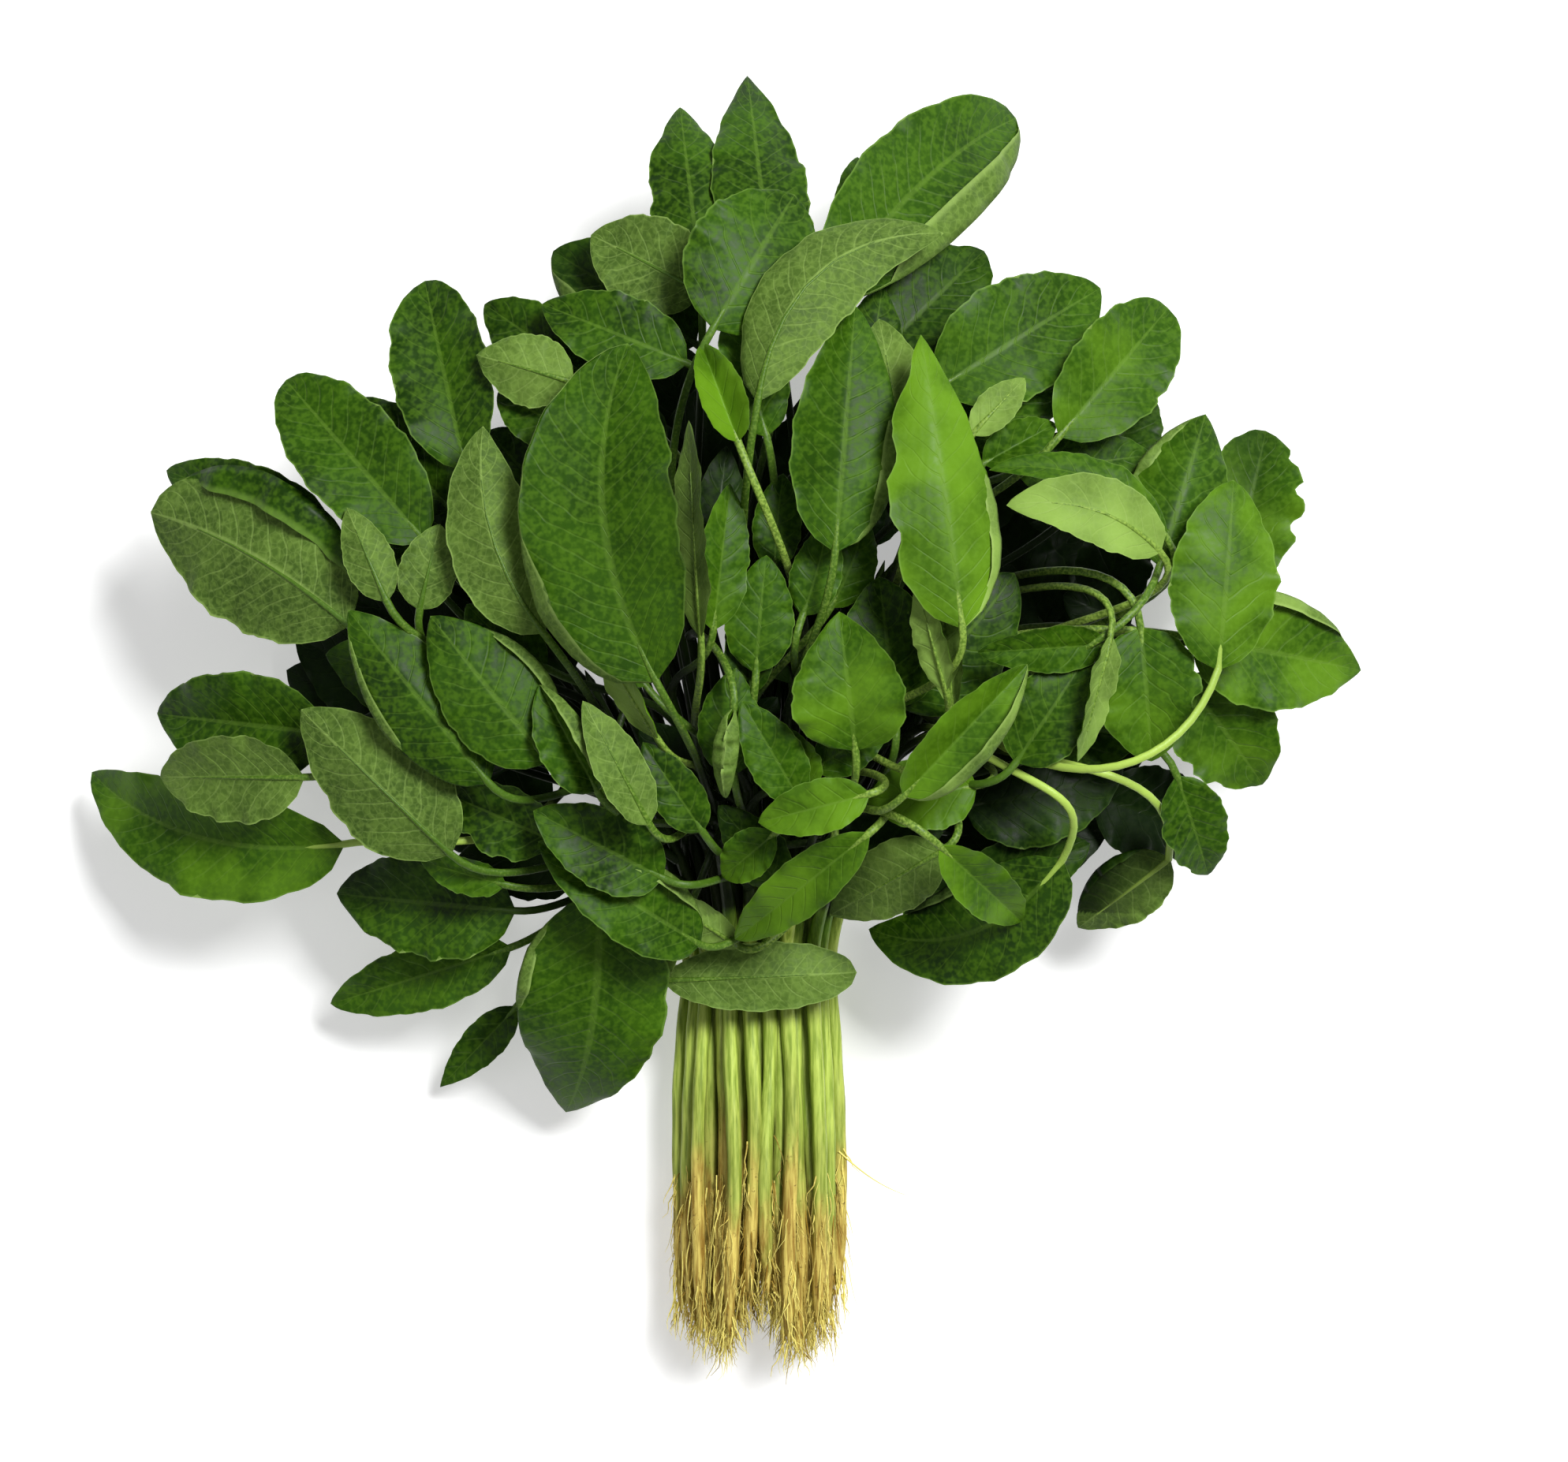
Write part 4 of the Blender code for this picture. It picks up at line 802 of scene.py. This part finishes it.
def blade_sheet(found, draw):
    """Grid of a blade's middle surface, how far outward each point is, and its marks."""
    item = found.item
    steps = np.linspace(0, 1, BLADE_ROWS) ** ROW_CROWDING
    centres, sides, normals = curve_frames(found.curve, steps, [blade_roll(item)] * BLADE_ROWS)
    columns = FOLDED_COLUMNS if item.name in FOLDED else BLADE_COLUMNS
    spread = np.linspace(-1, 1, columns)
    outline = np.array([half_width(t, item.taper) for t in steps])[:, None]
    wide = np.maximum(item.width / 2 * outline,
                      STALK_HALF_WIDTH * (1 - steps[:, None]) ** 3)
    t = steps[:, None] + 0 * spread
    s = (np.sign(spread) * np.abs(spread) ** COLUMN_CROWDING)[None, :] + 0 * t
    out = s * wide * margins(item, t, s, draw)
    soft = CREASE_SHARE * wide + CREASE_LEAST
    lifted = np.sqrt(out ** 2 + soft ** 2) - soft
    phase = item.base[0] * 0.37 + item.tip[1] * 0.23
    swing = np.sin(2 * math.pi * WAVES_ALONG * t + phase + np.sign(s))
    height = WAVE * item.width * swing * outline * np.abs(s) ** 1.4
    large = 2 * math.pi * draw.uniform(*RIPPLES_ALONG) * t
    ripple = np.sin(large + draw.uniform(0, 6) + 2.2 * np.sign(s))
    small = 2 * math.pi * draw.uniform(*SMALL_RIPPLES_ALONG) * t
    ripple = ripple + SMALL_RIPPLE_SHARE * np.sin(small - 1.3 * np.sign(s))
    height = height + EDGE_RIPPLE * item.width * ripple * outline * np.abs(s) ** 3
    length = np.linalg.norm(found.curve[2] - found.curve[0])
    count = max(VEINS_LEAST, round(length / VEIN_SPACING))
    vein = count * (t - VEIN_SLANT * item.width / length * np.abs(s) ** 1.2) + VEIN_START
    vein = vein + VEIN_STAGGER * np.sign(s)
    quilt = np.abs(np.sin(math.pi * vein)) ** 0.8 * (1 - np.abs(s) ** 4)
    height = height + QUILT * quilt * np.minimum(1, 3 * np.abs(s)) * outline * item.face
    fold = math.radians(item.fold)
    flat, raised = fold_margins(item, t, s, out, wide, draw)
    across = math.cos(fold) * flat - math.sin(fold) * raised * np.sign(s)
    upward = math.sin(fold) * lifted + math.cos(fold) * raised + height
    grid = (centres[:, None, :] + across[..., None] * sides[:, None, :]
            + upward[..., None] * normals[:, None, :])
    return grid, out, {"along": t, "across": s, "vein": vein}


def bent_strip(beyond, bend, angle):
    """(along, rise) of points that lie beyond the line where a strip starts to bend."""
    curved, straight = np.minimum(beyond, bend), np.maximum(beyond - bend, 0)
    turned = angle * curved / bend
    return (bend / angle * np.sin(turned) + straight * np.cos(angle),
            bend / angle * (1 - np.cos(turned)) + straight * np.sin(angle))


def fold_margins(item, t, s, out, wide, draw):
    """Each point's place across the blade and its rise, where the margins curl or fold over.

    Every margin curls a little. Those in FOLDED also carry a strip beyond the outline, which
    lies back over the blade.
    """
    flat, raised = out.copy(), 0 * out
    for side in (-1, 1):
        angle = draw.uniform(*CURL_ANGLES)
        beyond = np.clip(np.abs(s) - CURL_FROM, 0, 1) * wide
        along, rise = bent_strip(beyond, (1 - CURL_FROM) * wide + 1e-6, angle)
        here = (np.sign(s) == side) & (beyond > 0)
        flat = np.where(here, out + side * (along - beyond), flat)
        raised = np.where(here, rise, raised)
    for side, share, degrees, first, last in FOLDED.get(item.name, ()):
        fade = np.clip(6 * (t - first), 0, 1) * np.clip(6 * (last - t), 0, 1)
        strip = np.maximum(share * fade ** 0.6, LEAST_STRIP) * wide
        beyond = np.clip((np.abs(s) - FOLD_LINE) / (1 - FOLD_LINE), 0, 1) * strip
        inside = np.minimum(np.abs(s) / FOLD_LINE, 1) * wide
        along, rise = bent_strip(beyond, FOLD_BEND * strip + 1e-6, math.radians(degrees))
        here = np.sign(s) == side
        flat = np.where(here, side * (inside + along), flat)
        raised = np.where(here, rise, raised)
    return flat, raised


def grid_normals(grid):
    """Unit normals of a grid of points, by differences."""
    normal = np.cross(np.gradient(grid, axis=1), np.gradient(grid, axis=0))
    return normal / np.maximum(np.linalg.norm(normal, axis=2, keepdims=True), 1e-9)


def add_blade(surface, found, tint, draw):
    grid, out, marks = blade_sheet(found, draw)
    facing = grid_normals(grid)
    rib = np.exp(-(out / RIB_HALF_WIDTH) ** 2) * (1 - marks["along"])
    thick = FINE_THICKNESS / 2 * np.clip(1.15 - np.abs(marks["across"]) ** 6, 0.3, 1)
    smooth, ribbed = thick - RIB_FURROW * rib, thick + RIB_RISE * rib
    up = found.item.face > 0
    top = grid + (smooth if up else ribbed)[..., None] * facing
    low = grid - (ribbed if up else smooth)[..., None] * facing
    low[:, 0], low[:, -1], low[-1] = top[:, 0], top[:, -1], top[-1]
    surface.add_sheet(top, UPPER if up else UNDER, tint=tint, **marks)
    surface.add_sheet(low, UNDER if up else UPPER, flip=True, tint=tint, **marks)


def add_stalk(surface, found, tint):
    """The leafstalk, from inside the stem, and on as a thinning midrib under the blade."""
    roll = blade_roll(found.item)
    steps = np.linspace(0, 1, STALK_ROWS)
    ribs = np.array(MIDRIB_STEPS)
    centres, sides, normals = curve_frames(found.stalk, steps, roll * steps)
    rib_centres, rib_sides, rib_normals = curve_frames(found.curve, ribs, [roll] * len(ribs))
    share = np.concatenate([0 * steps, ribs / ribs[-1]])
    centres = np.concatenate([centres, rib_centres])
    sides = np.concatenate([sides, rib_sides])
    normals = np.concatenate([normals, rib_normals])
    centres = centres - found.item.face * (RIB_BELOW * np.minimum(1, 6 * share))[:, None] * normals
    swell = 1 + STALK_SWELL * np.exp(-np.concatenate([steps, 1 + ribs]) * 12)
    wide = STALK_HALF_WIDTH * swell * (1 - 0.1 * (share > 0)) * (1 - 0.86 * share ** 0.6)
    deep = STALK_THICKNESS / 2 * swell * (1 - 0.82 * share ** 0.6)
    angles = np.arange(STALK_COLUMNS) * 2 * math.pi / STALK_COLUMNS
    channel = 1 - CHANNEL_DEPTH * np.clip(np.sin(angles), 0, 1) ** 3
    grid = (centres[:, None, :] + (wide[:, None] * np.cos(angles))[..., None] * sides[:, None, :]
            + (deep[:, None] * np.sin(angles) * channel)[..., None] * normals[:, None, :])
    along = np.concatenate([steps, 1 + ribs])[:, None]
    surface.add_sheet(grid, STALK, closed=True, flip=True, along=along, across=np.cos(angles),
                      tint=tint)


def tube_grid(places, radii, columns, ridges=0.0, phase=0.0):
    """Rings of points round a path. ridges is how far its five ridges stand out, as a share."""
    tangents = np.gradient(places, axis=0)
    across = np.cross(tangents, (0.0, 0.0, 1.0))
    across /= np.maximum(np.linalg.norm(across, axis=1, keepdims=True), 1e-9)
    up = np.cross(across, tangents)
    up /= np.maximum(np.linalg.norm(up, axis=1, keepdims=True), 1e-9)
    angles = np.arange(columns) * 2 * math.pi / columns
    ring = radii[:, None] * (1 + ridges * np.cos(5 * angles + phase))[None, :]
    return (places[:, None, :] + (ring * np.cos(angles))[..., None] * across[:, None, :]
            + (ring * np.sin(angles))[..., None] * up[:, None, :])


def add_stem(surface, plant, tint, draw):
    places, radii = [], []
    lean = [draw.uniform(-1, 1) for _ in range(4)]
    for y in np.linspace(plant.root_y, TIE_FROM_Y, STEM_ROWS_BELOW):
        rise = (y - plant.root_y) / ROOT_TAPER
        down = y / ROOT_END_Y
        drift = STEM_DRIFT * math.sin(math.pi * min(1.0, down)) * math.sin(4 * down + 3 * lean[0])
        places.append(stem_below(plant, y) + np.array([lean[1] * drift, 0.0, lean[2] * drift]))
        thin = min(1.0, 0.02 + 0.98 * max(0.0, rise) ** 0.5)
        knots = 1 + STEM_KNOTS * math.sin(0.35 * y + 6 * lean[3])
        radii.append(plant.radius * thin * knots)
    curve = stem_above(plant)
    for t in np.linspace(0.04, 1, STEM_ROWS_ABOVE):
        places.append(bezier(curve, t))
        radii.append(plant.radius * (1 - STEM_NARROWS * t))
    radii[-1] = STEM_TOP_RADIUS
    places = np.array(places)
    grid = tube_grid(places, np.array(radii), STEM_COLUMNS, STEM_RIDGES, 3 * plant.sway[0])
    surface.add_sheet(grid, STEM, closed=True, flip=True, along=places[:, 1:2], tint=tint)


def add_rootlet(surface, places, radius, tint):
    places[:, 2] = np.maximum(places[:, 2], ROOT_LOW)
    steps = np.linspace(0, 1, len(places))
    radii = radius * (1 - 0.8 * steps)
    surface.add_sheet(tube_grid(places, radii, ROOTLET_COLUMNS), ROOT, closed=True, flip=True,
                      along=steps[:, None], tint=tint)


def add_rootlets(surface, plant, draw, tint):
    """Fine side roots that trail and cross round the brown end of the stem."""
    steps = np.linspace(0, 1, ROOTLET_ROWS)
    for _ in range(ROOTLETS):
        start_y = plant.root_y + draw.uniform(0, 1) ** 1.2 * ROOT_ZONE
        angle = draw.uniform(0, 2 * math.pi)
        out = np.array([math.cos(angle), 0.0, math.sin(angle)])
        side = np.array([-out[2], 0.0, out[0]])
        reach = min(draw.uniform(*ROOTLET_LENGTHS), start_y - plant.root_y + draw.uniform(1, 9))
        spread, bend = draw.uniform(0.3, 2.8), draw.uniform(-3.4, 3.4)
        curl = 0.8 * np.sin(steps * draw.uniform(4, 14) + draw.uniform(0, 6))
        places = (stem_below(plant, start_y) + np.outer(1.2 + spread * steps ** 0.7, out)
                  + np.outer(bend * steps ** 1.5 + curl * steps, side)
                  + np.outer(-reach * steps, (0.0, 1.0, 0.0)))
        radius = draw.uniform(*ROOTLET_RADII)
        add_rootlet(surface, places, radius, tint + draw.uniform(-0.7, 0.7))


def add_stray_root(surface):
    """One long thin root that stands out to the right."""
    steps = np.linspace(0, 1, 3 * ROOTLET_ROWS)
    places = np.array([bezier(STRAY_ROOT, t) for t in steps])
    add_rootlet(surface, places, STRAY_ROOT_RADIUS, STRAY_ROOT_TINT)


# Materials

class Nodes:
    """A material's node tree, with short calls for the nodes that the looks need."""

    def __init__(self, name):
        self.material = bpy.data.materials.new(name)
        self.material.use_nodes = True
        self.tree = self.material.node_tree
        self.shader = self.tree.nodes["Principled BSDF"]
        self.place = self.tree.nodes.new("ShaderNodeTexCoord").outputs["Object"]

    def add(self, kind, inputs=(), **settings):
        node = self.tree.nodes.new(kind)
        for name, value in settings.items():
            setattr(node, name, value)
        for key, value in dict(inputs).items():
            if isinstance(value, bpy.types.NodeSocket):
                self.tree.links.new(value, node.inputs[key])
            else:
                node.inputs[key].default_value = value
        return node

    def mark(self, name):
        return self.add("ShaderNodeAttribute", attribute_name=name).outputs["Fac"]

    def maths(self, operation, *values):
        return self.add("ShaderNodeMath", dict(enumerate(values)), operation=operation).outputs[0]

    def ramp(self, value, low, high, start=0.0, end=1.0):
        """value taken from low..high to start..end, smoothly and held at both ends."""
        return self.add("ShaderNodeMapRange",
                        {"Value": value, "From Min": low, "From Max": high,
                         "To Min": start, "To Max": end},
                        interpolation_type="SMOOTHSTEP").outputs["Result"]

    def noise(self, size, detail=2.0, rough=0.5, stretch=(1.0, 1.0, 1.0)):
        """Noise whose patches are about size millimetres, stretched by shares of that."""
        scale = [1 / (size * METRES_PER_MM * share) for share in stretch]
        place = self.add("ShaderNodeVectorMath", {0: self.place, 1: scale}, operation="MULTIPLY")
        node = self.add("ShaderNodeTexNoise", {"Vector": place.outputs[0], "Scale": 1.0,
                                               "Detail": detail, "Roughness": rough})
        return node.outputs["Fac"]

    def cells(self, size):
        """Distance from the walls of a fine net of cells, in shares of their size."""
        return self.add("ShaderNodeTexVoronoi",
                        {"Vector": self.place, "Scale": 1 / (size * METRES_PER_MM)},
                        feature="DISTANCE_TO_EDGE").outputs["Distance"]

    def mix(self, share, first, second):
        node = self.add("ShaderNodeMix", data_type="RGBA")
        for socket, value in ((node.inputs["Factor"], share), (node.inputs[6], first),
                              (node.inputs[7], second)):
            if isinstance(value, bpy.types.NodeSocket):
                self.tree.links.new(value, socket)
            elif isinstance(value, tuple):
                socket.default_value = (*value, 1.0)
            else:
                socket.default_value = value
        return node.outputs[2]

    def inner(self, colour, dark, most):
        """Painted shade: the colour, turned towards dark inside the bunch, where the light hardly
        reaches.
        """
        return self.mix(self.ramp(self.mark("depth"), 0.0, 1.0, 0.0, most), colour, dark)

    def bump(self, height, strength, distance):
        """distance is in millimetres."""
        normal = self.add("ShaderNodeBump", {"Height": height, "Strength": strength,
                                             "Distance": distance * METRES_PER_MM}).outputs[0]
        self.tree.links.new(normal, self.shader.inputs["Normal"])

    def finish(self, colour, roughness, specular):
        self.tree.links.new(colour, self.shader.inputs["Base Color"])
        self.tree.links.new(roughness, self.shader.inputs["Roughness"])
        self.shader.inputs["Specular IOR Level"].default_value = specular
        return self.material


def blade_material(name, shades, lines, shares, roughness):
    """One side of a blade: mottled green, a midrib, side veins, a thin pale rim, where its
    share isn't 0 a fine net, and painted shade that darkens it inside the bunch.

    shades are the deep, plain and fresh greens, lines the colours of the veins and the rim, and
    shares how strongly the side veins, the net and the rim show.
    """
    deep, plain, fresh = shades
    vein_share, net_share, rim_share = shares
    look = Nodes(name)
    along, across = look.mark("along"), look.maths("ABSOLUTE", look.mark("across"))
    # The tint, partly the leaf's own tone and partly painted light and shade, sets how deep or
    # fresh the green is
    mottle = look.maths("MULTIPLY_ADD", look.mark("tint"), 0.75,
                        look.ramp(look.noise(15.0, 1.0), 0.3, 0.7, 0.0, 0.34))
    colour = look.mix(look.ramp(mottle, 0.0, 0.55), deep, plain)
    colour = look.mix(look.ramp(mottle, 0.5, 1.2), colour, fresh)
    fine = look.noise(1.6, 1.0, 0.6)
    colour = look.mix(look.ramp(fine, 0.35, 0.7, 0.0, 0.25), colour, fresh)
    waver = look.maths("MULTIPLY_ADD", look.noise(7.0, 0.0), 0.5, look.mark("vein"))
    between = look.maths("PINGPONG", waver, 0.5)
    side_vein = look.maths("MULTIPLY", look.ramp(between, 0.015, 0.085, 1.0, 0.0),
                           look.ramp(across, 0.5, 0.95, 1.0, 0.0))
    midrib_edge = look.maths("MULTIPLY_ADD", along, -0.03, 0.06)
    midrib = look.ramp(look.maths("DIVIDE", across, midrib_edge), 0.5, 1.3, 1.0, 0.0)
    if net_share:
        net = look.ramp(look.cells(2.1), 0.015, 0.10, net_share, 0.0)
        colour = look.mix(net, colour, lines[0])
    colour = look.mix(look.maths("MULTIPLY", side_vein, vein_share), colour, lines[0])
    colour = look.mix(look.maths("MULTIPLY", midrib, min(1.0, vein_share * 1.6)), colour,
                      lines[0])
    rim = look.maths("MAXIMUM", look.ramp(across, 0.955, 0.99), look.ramp(along, 0.988, 0.998))
    colour = look.mix(look.maths("MULTIPLY", rim, rim_share), colour, lines[1])
    # Painted shade: the blade darkens inside the bunch
    colour = look.inner(colour, (0.002, 0.008, 0.001), 0.9)
    raised = look.maths("MULTIPLY_ADD", side_vein, -0.7, look.maths("MULTIPLY", fine, 0.4))
    look.bump(raised, 0.5, 0.25)
    rough = look.ramp(fine, 0.3, 0.75, roughness - 0.06, roughness + 0.1)
    return look.finish(colour, rough, 0.11)


def stalk_material():
    look = Nodes("leafstalk")
    stripe = look.noise(0.7)
    shade = look.maths("MULTIPLY_ADD", look.mark("tint"), 0.5,
                       look.ramp(stripe, 0.3, 0.7, 0.0, 0.4))
    colour = look.mix(look.ramp(shade, 0.0, 0.9), (0.045, 0.105, 0.006), (0.36, 0.52, 0.085))
    # Partly painted shade: the stalk turns a darker green towards the blade and along the midrib
    # under it
    colour = look.mix(look.ramp(look.mark("along"), 0.55, 1.0, 0.0, 0.35), colour,
                      (0.075, 0.16, 0.012))
    # Painted shade: the stalk darkens inside the bunch
    colour = look.inner(colour, (0.004, 0.011, 0.001), 0.92)
    look.bump(stripe, 0.4, 0.2)
    return look.finish(colour, look.ramp(stripe, 0.3, 0.7, 0.38, 0.52), 0.25)


def stem_material():
    """Lime where the stems are bare, darker green above the tie as painted shade, and brown
    towards the roots.
    """
    look = Nodes("stem")
    patches = look.ramp(look.noise(5.0, 3.0, 0.6, (1.0, 3.0, 1.0)), 0.2, 0.8, -9.0, 9.0)
    y = look.maths("MULTIPLY_ADD", look.mark("tint"), 32.0, look.mark("along"))
    y = look.maths("ADD", y, patches)
    streak = look.noise(0.9, 3.0, 0.6, (1.0, 14.0, 1.0))
    lime, green, olive, brown = [
        look.mix(look.ramp(streak, 0.3, 0.7), dark, light) for dark, light in (
            ((0.19, 0.28, 0.028), (0.47, 0.59, 0.105)), ((0.10, 0.23, 0.012), (0.22, 0.42, 0.035)),
            ((0.17, 0.23, 0.024), (0.40, 0.47, 0.085)), ((0.24, 0.14, 0.018), (0.64, 0.52, 0.12)))]
    # Painted shade: above the tie, where the stems run inside the leaves, they turn a darker green
    colour = look.mix(look.ramp(y, 2.0, 34.0), lime, green)
    colour = look.mix(look.ramp(y, -20.0, -42.0), colour, olive)
    colour = look.mix(look.ramp(y, -42.0, -64.0), colour, brown)
    specks = look.maths("MULTIPLY", look.ramp(look.noise(1.3, 4.0, 0.7), 0.60, 0.74),
                        look.ramp(y, -36.0, -60.0, 0.05, 0.85))
    colour = look.mix(specks, colour, (0.09, 0.035, 0.010))
    # Painted shade: the stems darken deep inside the bunch
    colour = look.inner(colour, (0.004, 0.010, 0.001), 0.95)
    look.bump(look.maths("ADD", streak, specks), 0.5, 0.35)
    return look.finish(colour, look.ramp(y, -60.0, -30.0, 0.75, 0.42), 0.25)


def root_material():
    look = Nodes("root")
    fine = look.noise(1.1, 3.0, 0.6)
    shade = look.maths("ADD", look.mark("tint"), look.ramp(fine, 0.3, 0.7, 0.0, 0.5))
    colour = look.mix(look.ramp(shade, -0.2, 1.0), (0.26, 0.16, 0.018), (0.80, 0.70, 0.18))
    colour = look.mix(look.ramp(look.mark("along"), 0.3, 1.0, 0.0, 0.3), colour,
                      (0.78, 0.70, 0.21))
    look.bump(fine, 0.5, 0.15)
    return look.finish(colour, look.ramp(fine, 0.3, 0.7, 0.65, 0.85), 0.2)


def tie_material():
    """A flat strip of plant fibre, green as the stems, with strands that run round the bundle."""
    look = Nodes("tie_fibre")
    strand = look.noise(0.5, 3.0, 0.6, (9.0, 1.0, 9.0))
    colour = look.mix(look.ramp(strand, 0.3, 0.7), (0.11, 0.16, 0.02), (0.30, 0.38, 0.07))
    look.bump(strand, 0.7, 0.3)
    return look.finish(colour, look.ramp(strand, 0.3, 0.7, 0.7, 0.9), 0.2)


def floor_material():
    """A pale table, lit a little from beneath so that the shadows on it stay soft."""
    look = Nodes("studio_floor")
    grain = look.noise(0.8)
    colour = look.mix(look.ramp(grain, 0.2, 0.8), (0.715, 0.718, 0.715), (0.73, 0.73, 0.73))
    look.shader.inputs["Emission Color"].default_value = (1.0, 1.0, 1.0, 1.0)
    look.shader.inputs["Emission Strength"].default_value = FLOOR_GLOW
    return look.finish(colour, look.ramp(grain, 0.2, 0.8, 0.85, 0.9), 0.1)


def make_materials():
    """The five materials of a plant, in the order of the material numbers."""
    upper = blade_material("blade_upper",
                           ((0.007, 0.026, 0.001), (0.022, 0.069, 0.0015), (0.115, 0.250, 0.009)),
                           ((0.130, 0.240, 0.030), (0.170, 0.300, 0.050)),
                           (0.17, 0.0, 0.4), 0.46)
    under = blade_material("blade_under",
                           ((0.036, 0.075, 0.009), (0.068, 0.128, 0.017), (0.215, 0.345, 0.062)),
                           ((0.260, 0.385, 0.095), (0.270, 0.400, 0.100)),
                           (0.26, 0.13, 0.5), 0.62)
    return [upper, under, stalk_material(), stem_material(), root_material()]


# The scene

def add_plant(number, plant, found, materials):
    surface = Surface()
    draw = random.Random(100 + number)
    tint = STEM_TINT_TURN * plant.slot[0] / BUNDLE_HALF_WIDTH + draw.uniform(-0.45, 0.45)
    add_stem(surface, plant, tint, draw)
    add_rootlets(surface, plant, draw, draw.uniform(-0.2, 0.8))
    if plant.slot[0] > STRAY_ROOT_BEYOND:
        add_stray_root(surface)
    for one in found:
        # Each leaf's tint from the table, partly painted light and shade; the others get a random
        # tint
        tint = LEAF_TINTS_WITH_PAINTED_LIGHT_AND_SHADE.get(one.item.name, draw.uniform(0.0, 0.55))
        add_blade(surface, one, tint, draw)
        # The laid stalks get a pale tint; the rest are 0.5 darker than their leaf, painted shade
        # for the stalks inside the bunch
        add_stalk(surface, one, STALK_TINT_LAID if one.item.control else tint - 0.5)
    piece = surface.make(f"{plant_name(number)}_dressed", materials)
    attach(piece, "root")
    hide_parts(plant_name(number))


def add_floor():
    half = FLOOR_HALF_SIDE
    mesh = bpy.data.meshes.new("studio_floor")
    corners = [(-half, -half, 0), (half, -half, 0), (half, half, 0), (-half, half, 0)]
    mesh.from_pydata(corners, [], [(0, 1, 2, 3)])
    mesh.materials.append(floor_material())
    floor = bpy.data.objects.new("studio_floor", mesh)
    bpy.context.scene.collection.objects.link(floor)


def add_light(name, place, side, power):
    lamp = bpy.data.lights.new(name, "AREA")
    lamp.shape = "SQUARE"
    lamp.size = side
    lamp.energy = power
    light = bpy.data.objects.new(name, lamp)
    light.location = place
    aim = Vector(LIGHT_TARGET) - Vector(place)
    light.rotation_euler = aim.to_track_quat("-Z", "Y").to_euler()
    bpy.context.scene.collection.objects.link(light)


def add_studio():
    world = bpy.data.worlds.new("studio")
    world.use_nodes = True
    background = world.node_tree.nodes["Background"]
    background.inputs["Color"].default_value = (1.0, 1.0, 1.0, 1.0)
    background.inputs["Strength"].default_value = SKY_STRENGTH
    bpy.context.scene.world = world
    for name, place, side, power in LIGHTS:
        add_light(name, place, side, power)
    camera = bpy.data.objects.new("camera", bpy.data.cameras.new("camera"))
    camera.data.lens = CAMERA_LENS
    camera.data.sensor_width = CAMERA_SENSOR
    camera.data.clip_start, camera.data.clip_end = 0.1, 20.0
    camera.location = CAMERA_PLACE
    bpy.context.scene.collection.objects.link(camera)
    bpy.context.scene.camera = camera
    bpy.context.scene.view_settings.view_transform = "Standard"


def main():
    plants = make_plants()
    found = find_leaves(plants)
    print("leaves found:", len(found))
    materials = make_materials()
    for number, plant in enumerate(plants):
        add_plant(number, plant, [one for one in found if one.plant == number], materials)
    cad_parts["tie"].material_slots[0].material = tie_material()
    add_floor()
    add_studio()


main()
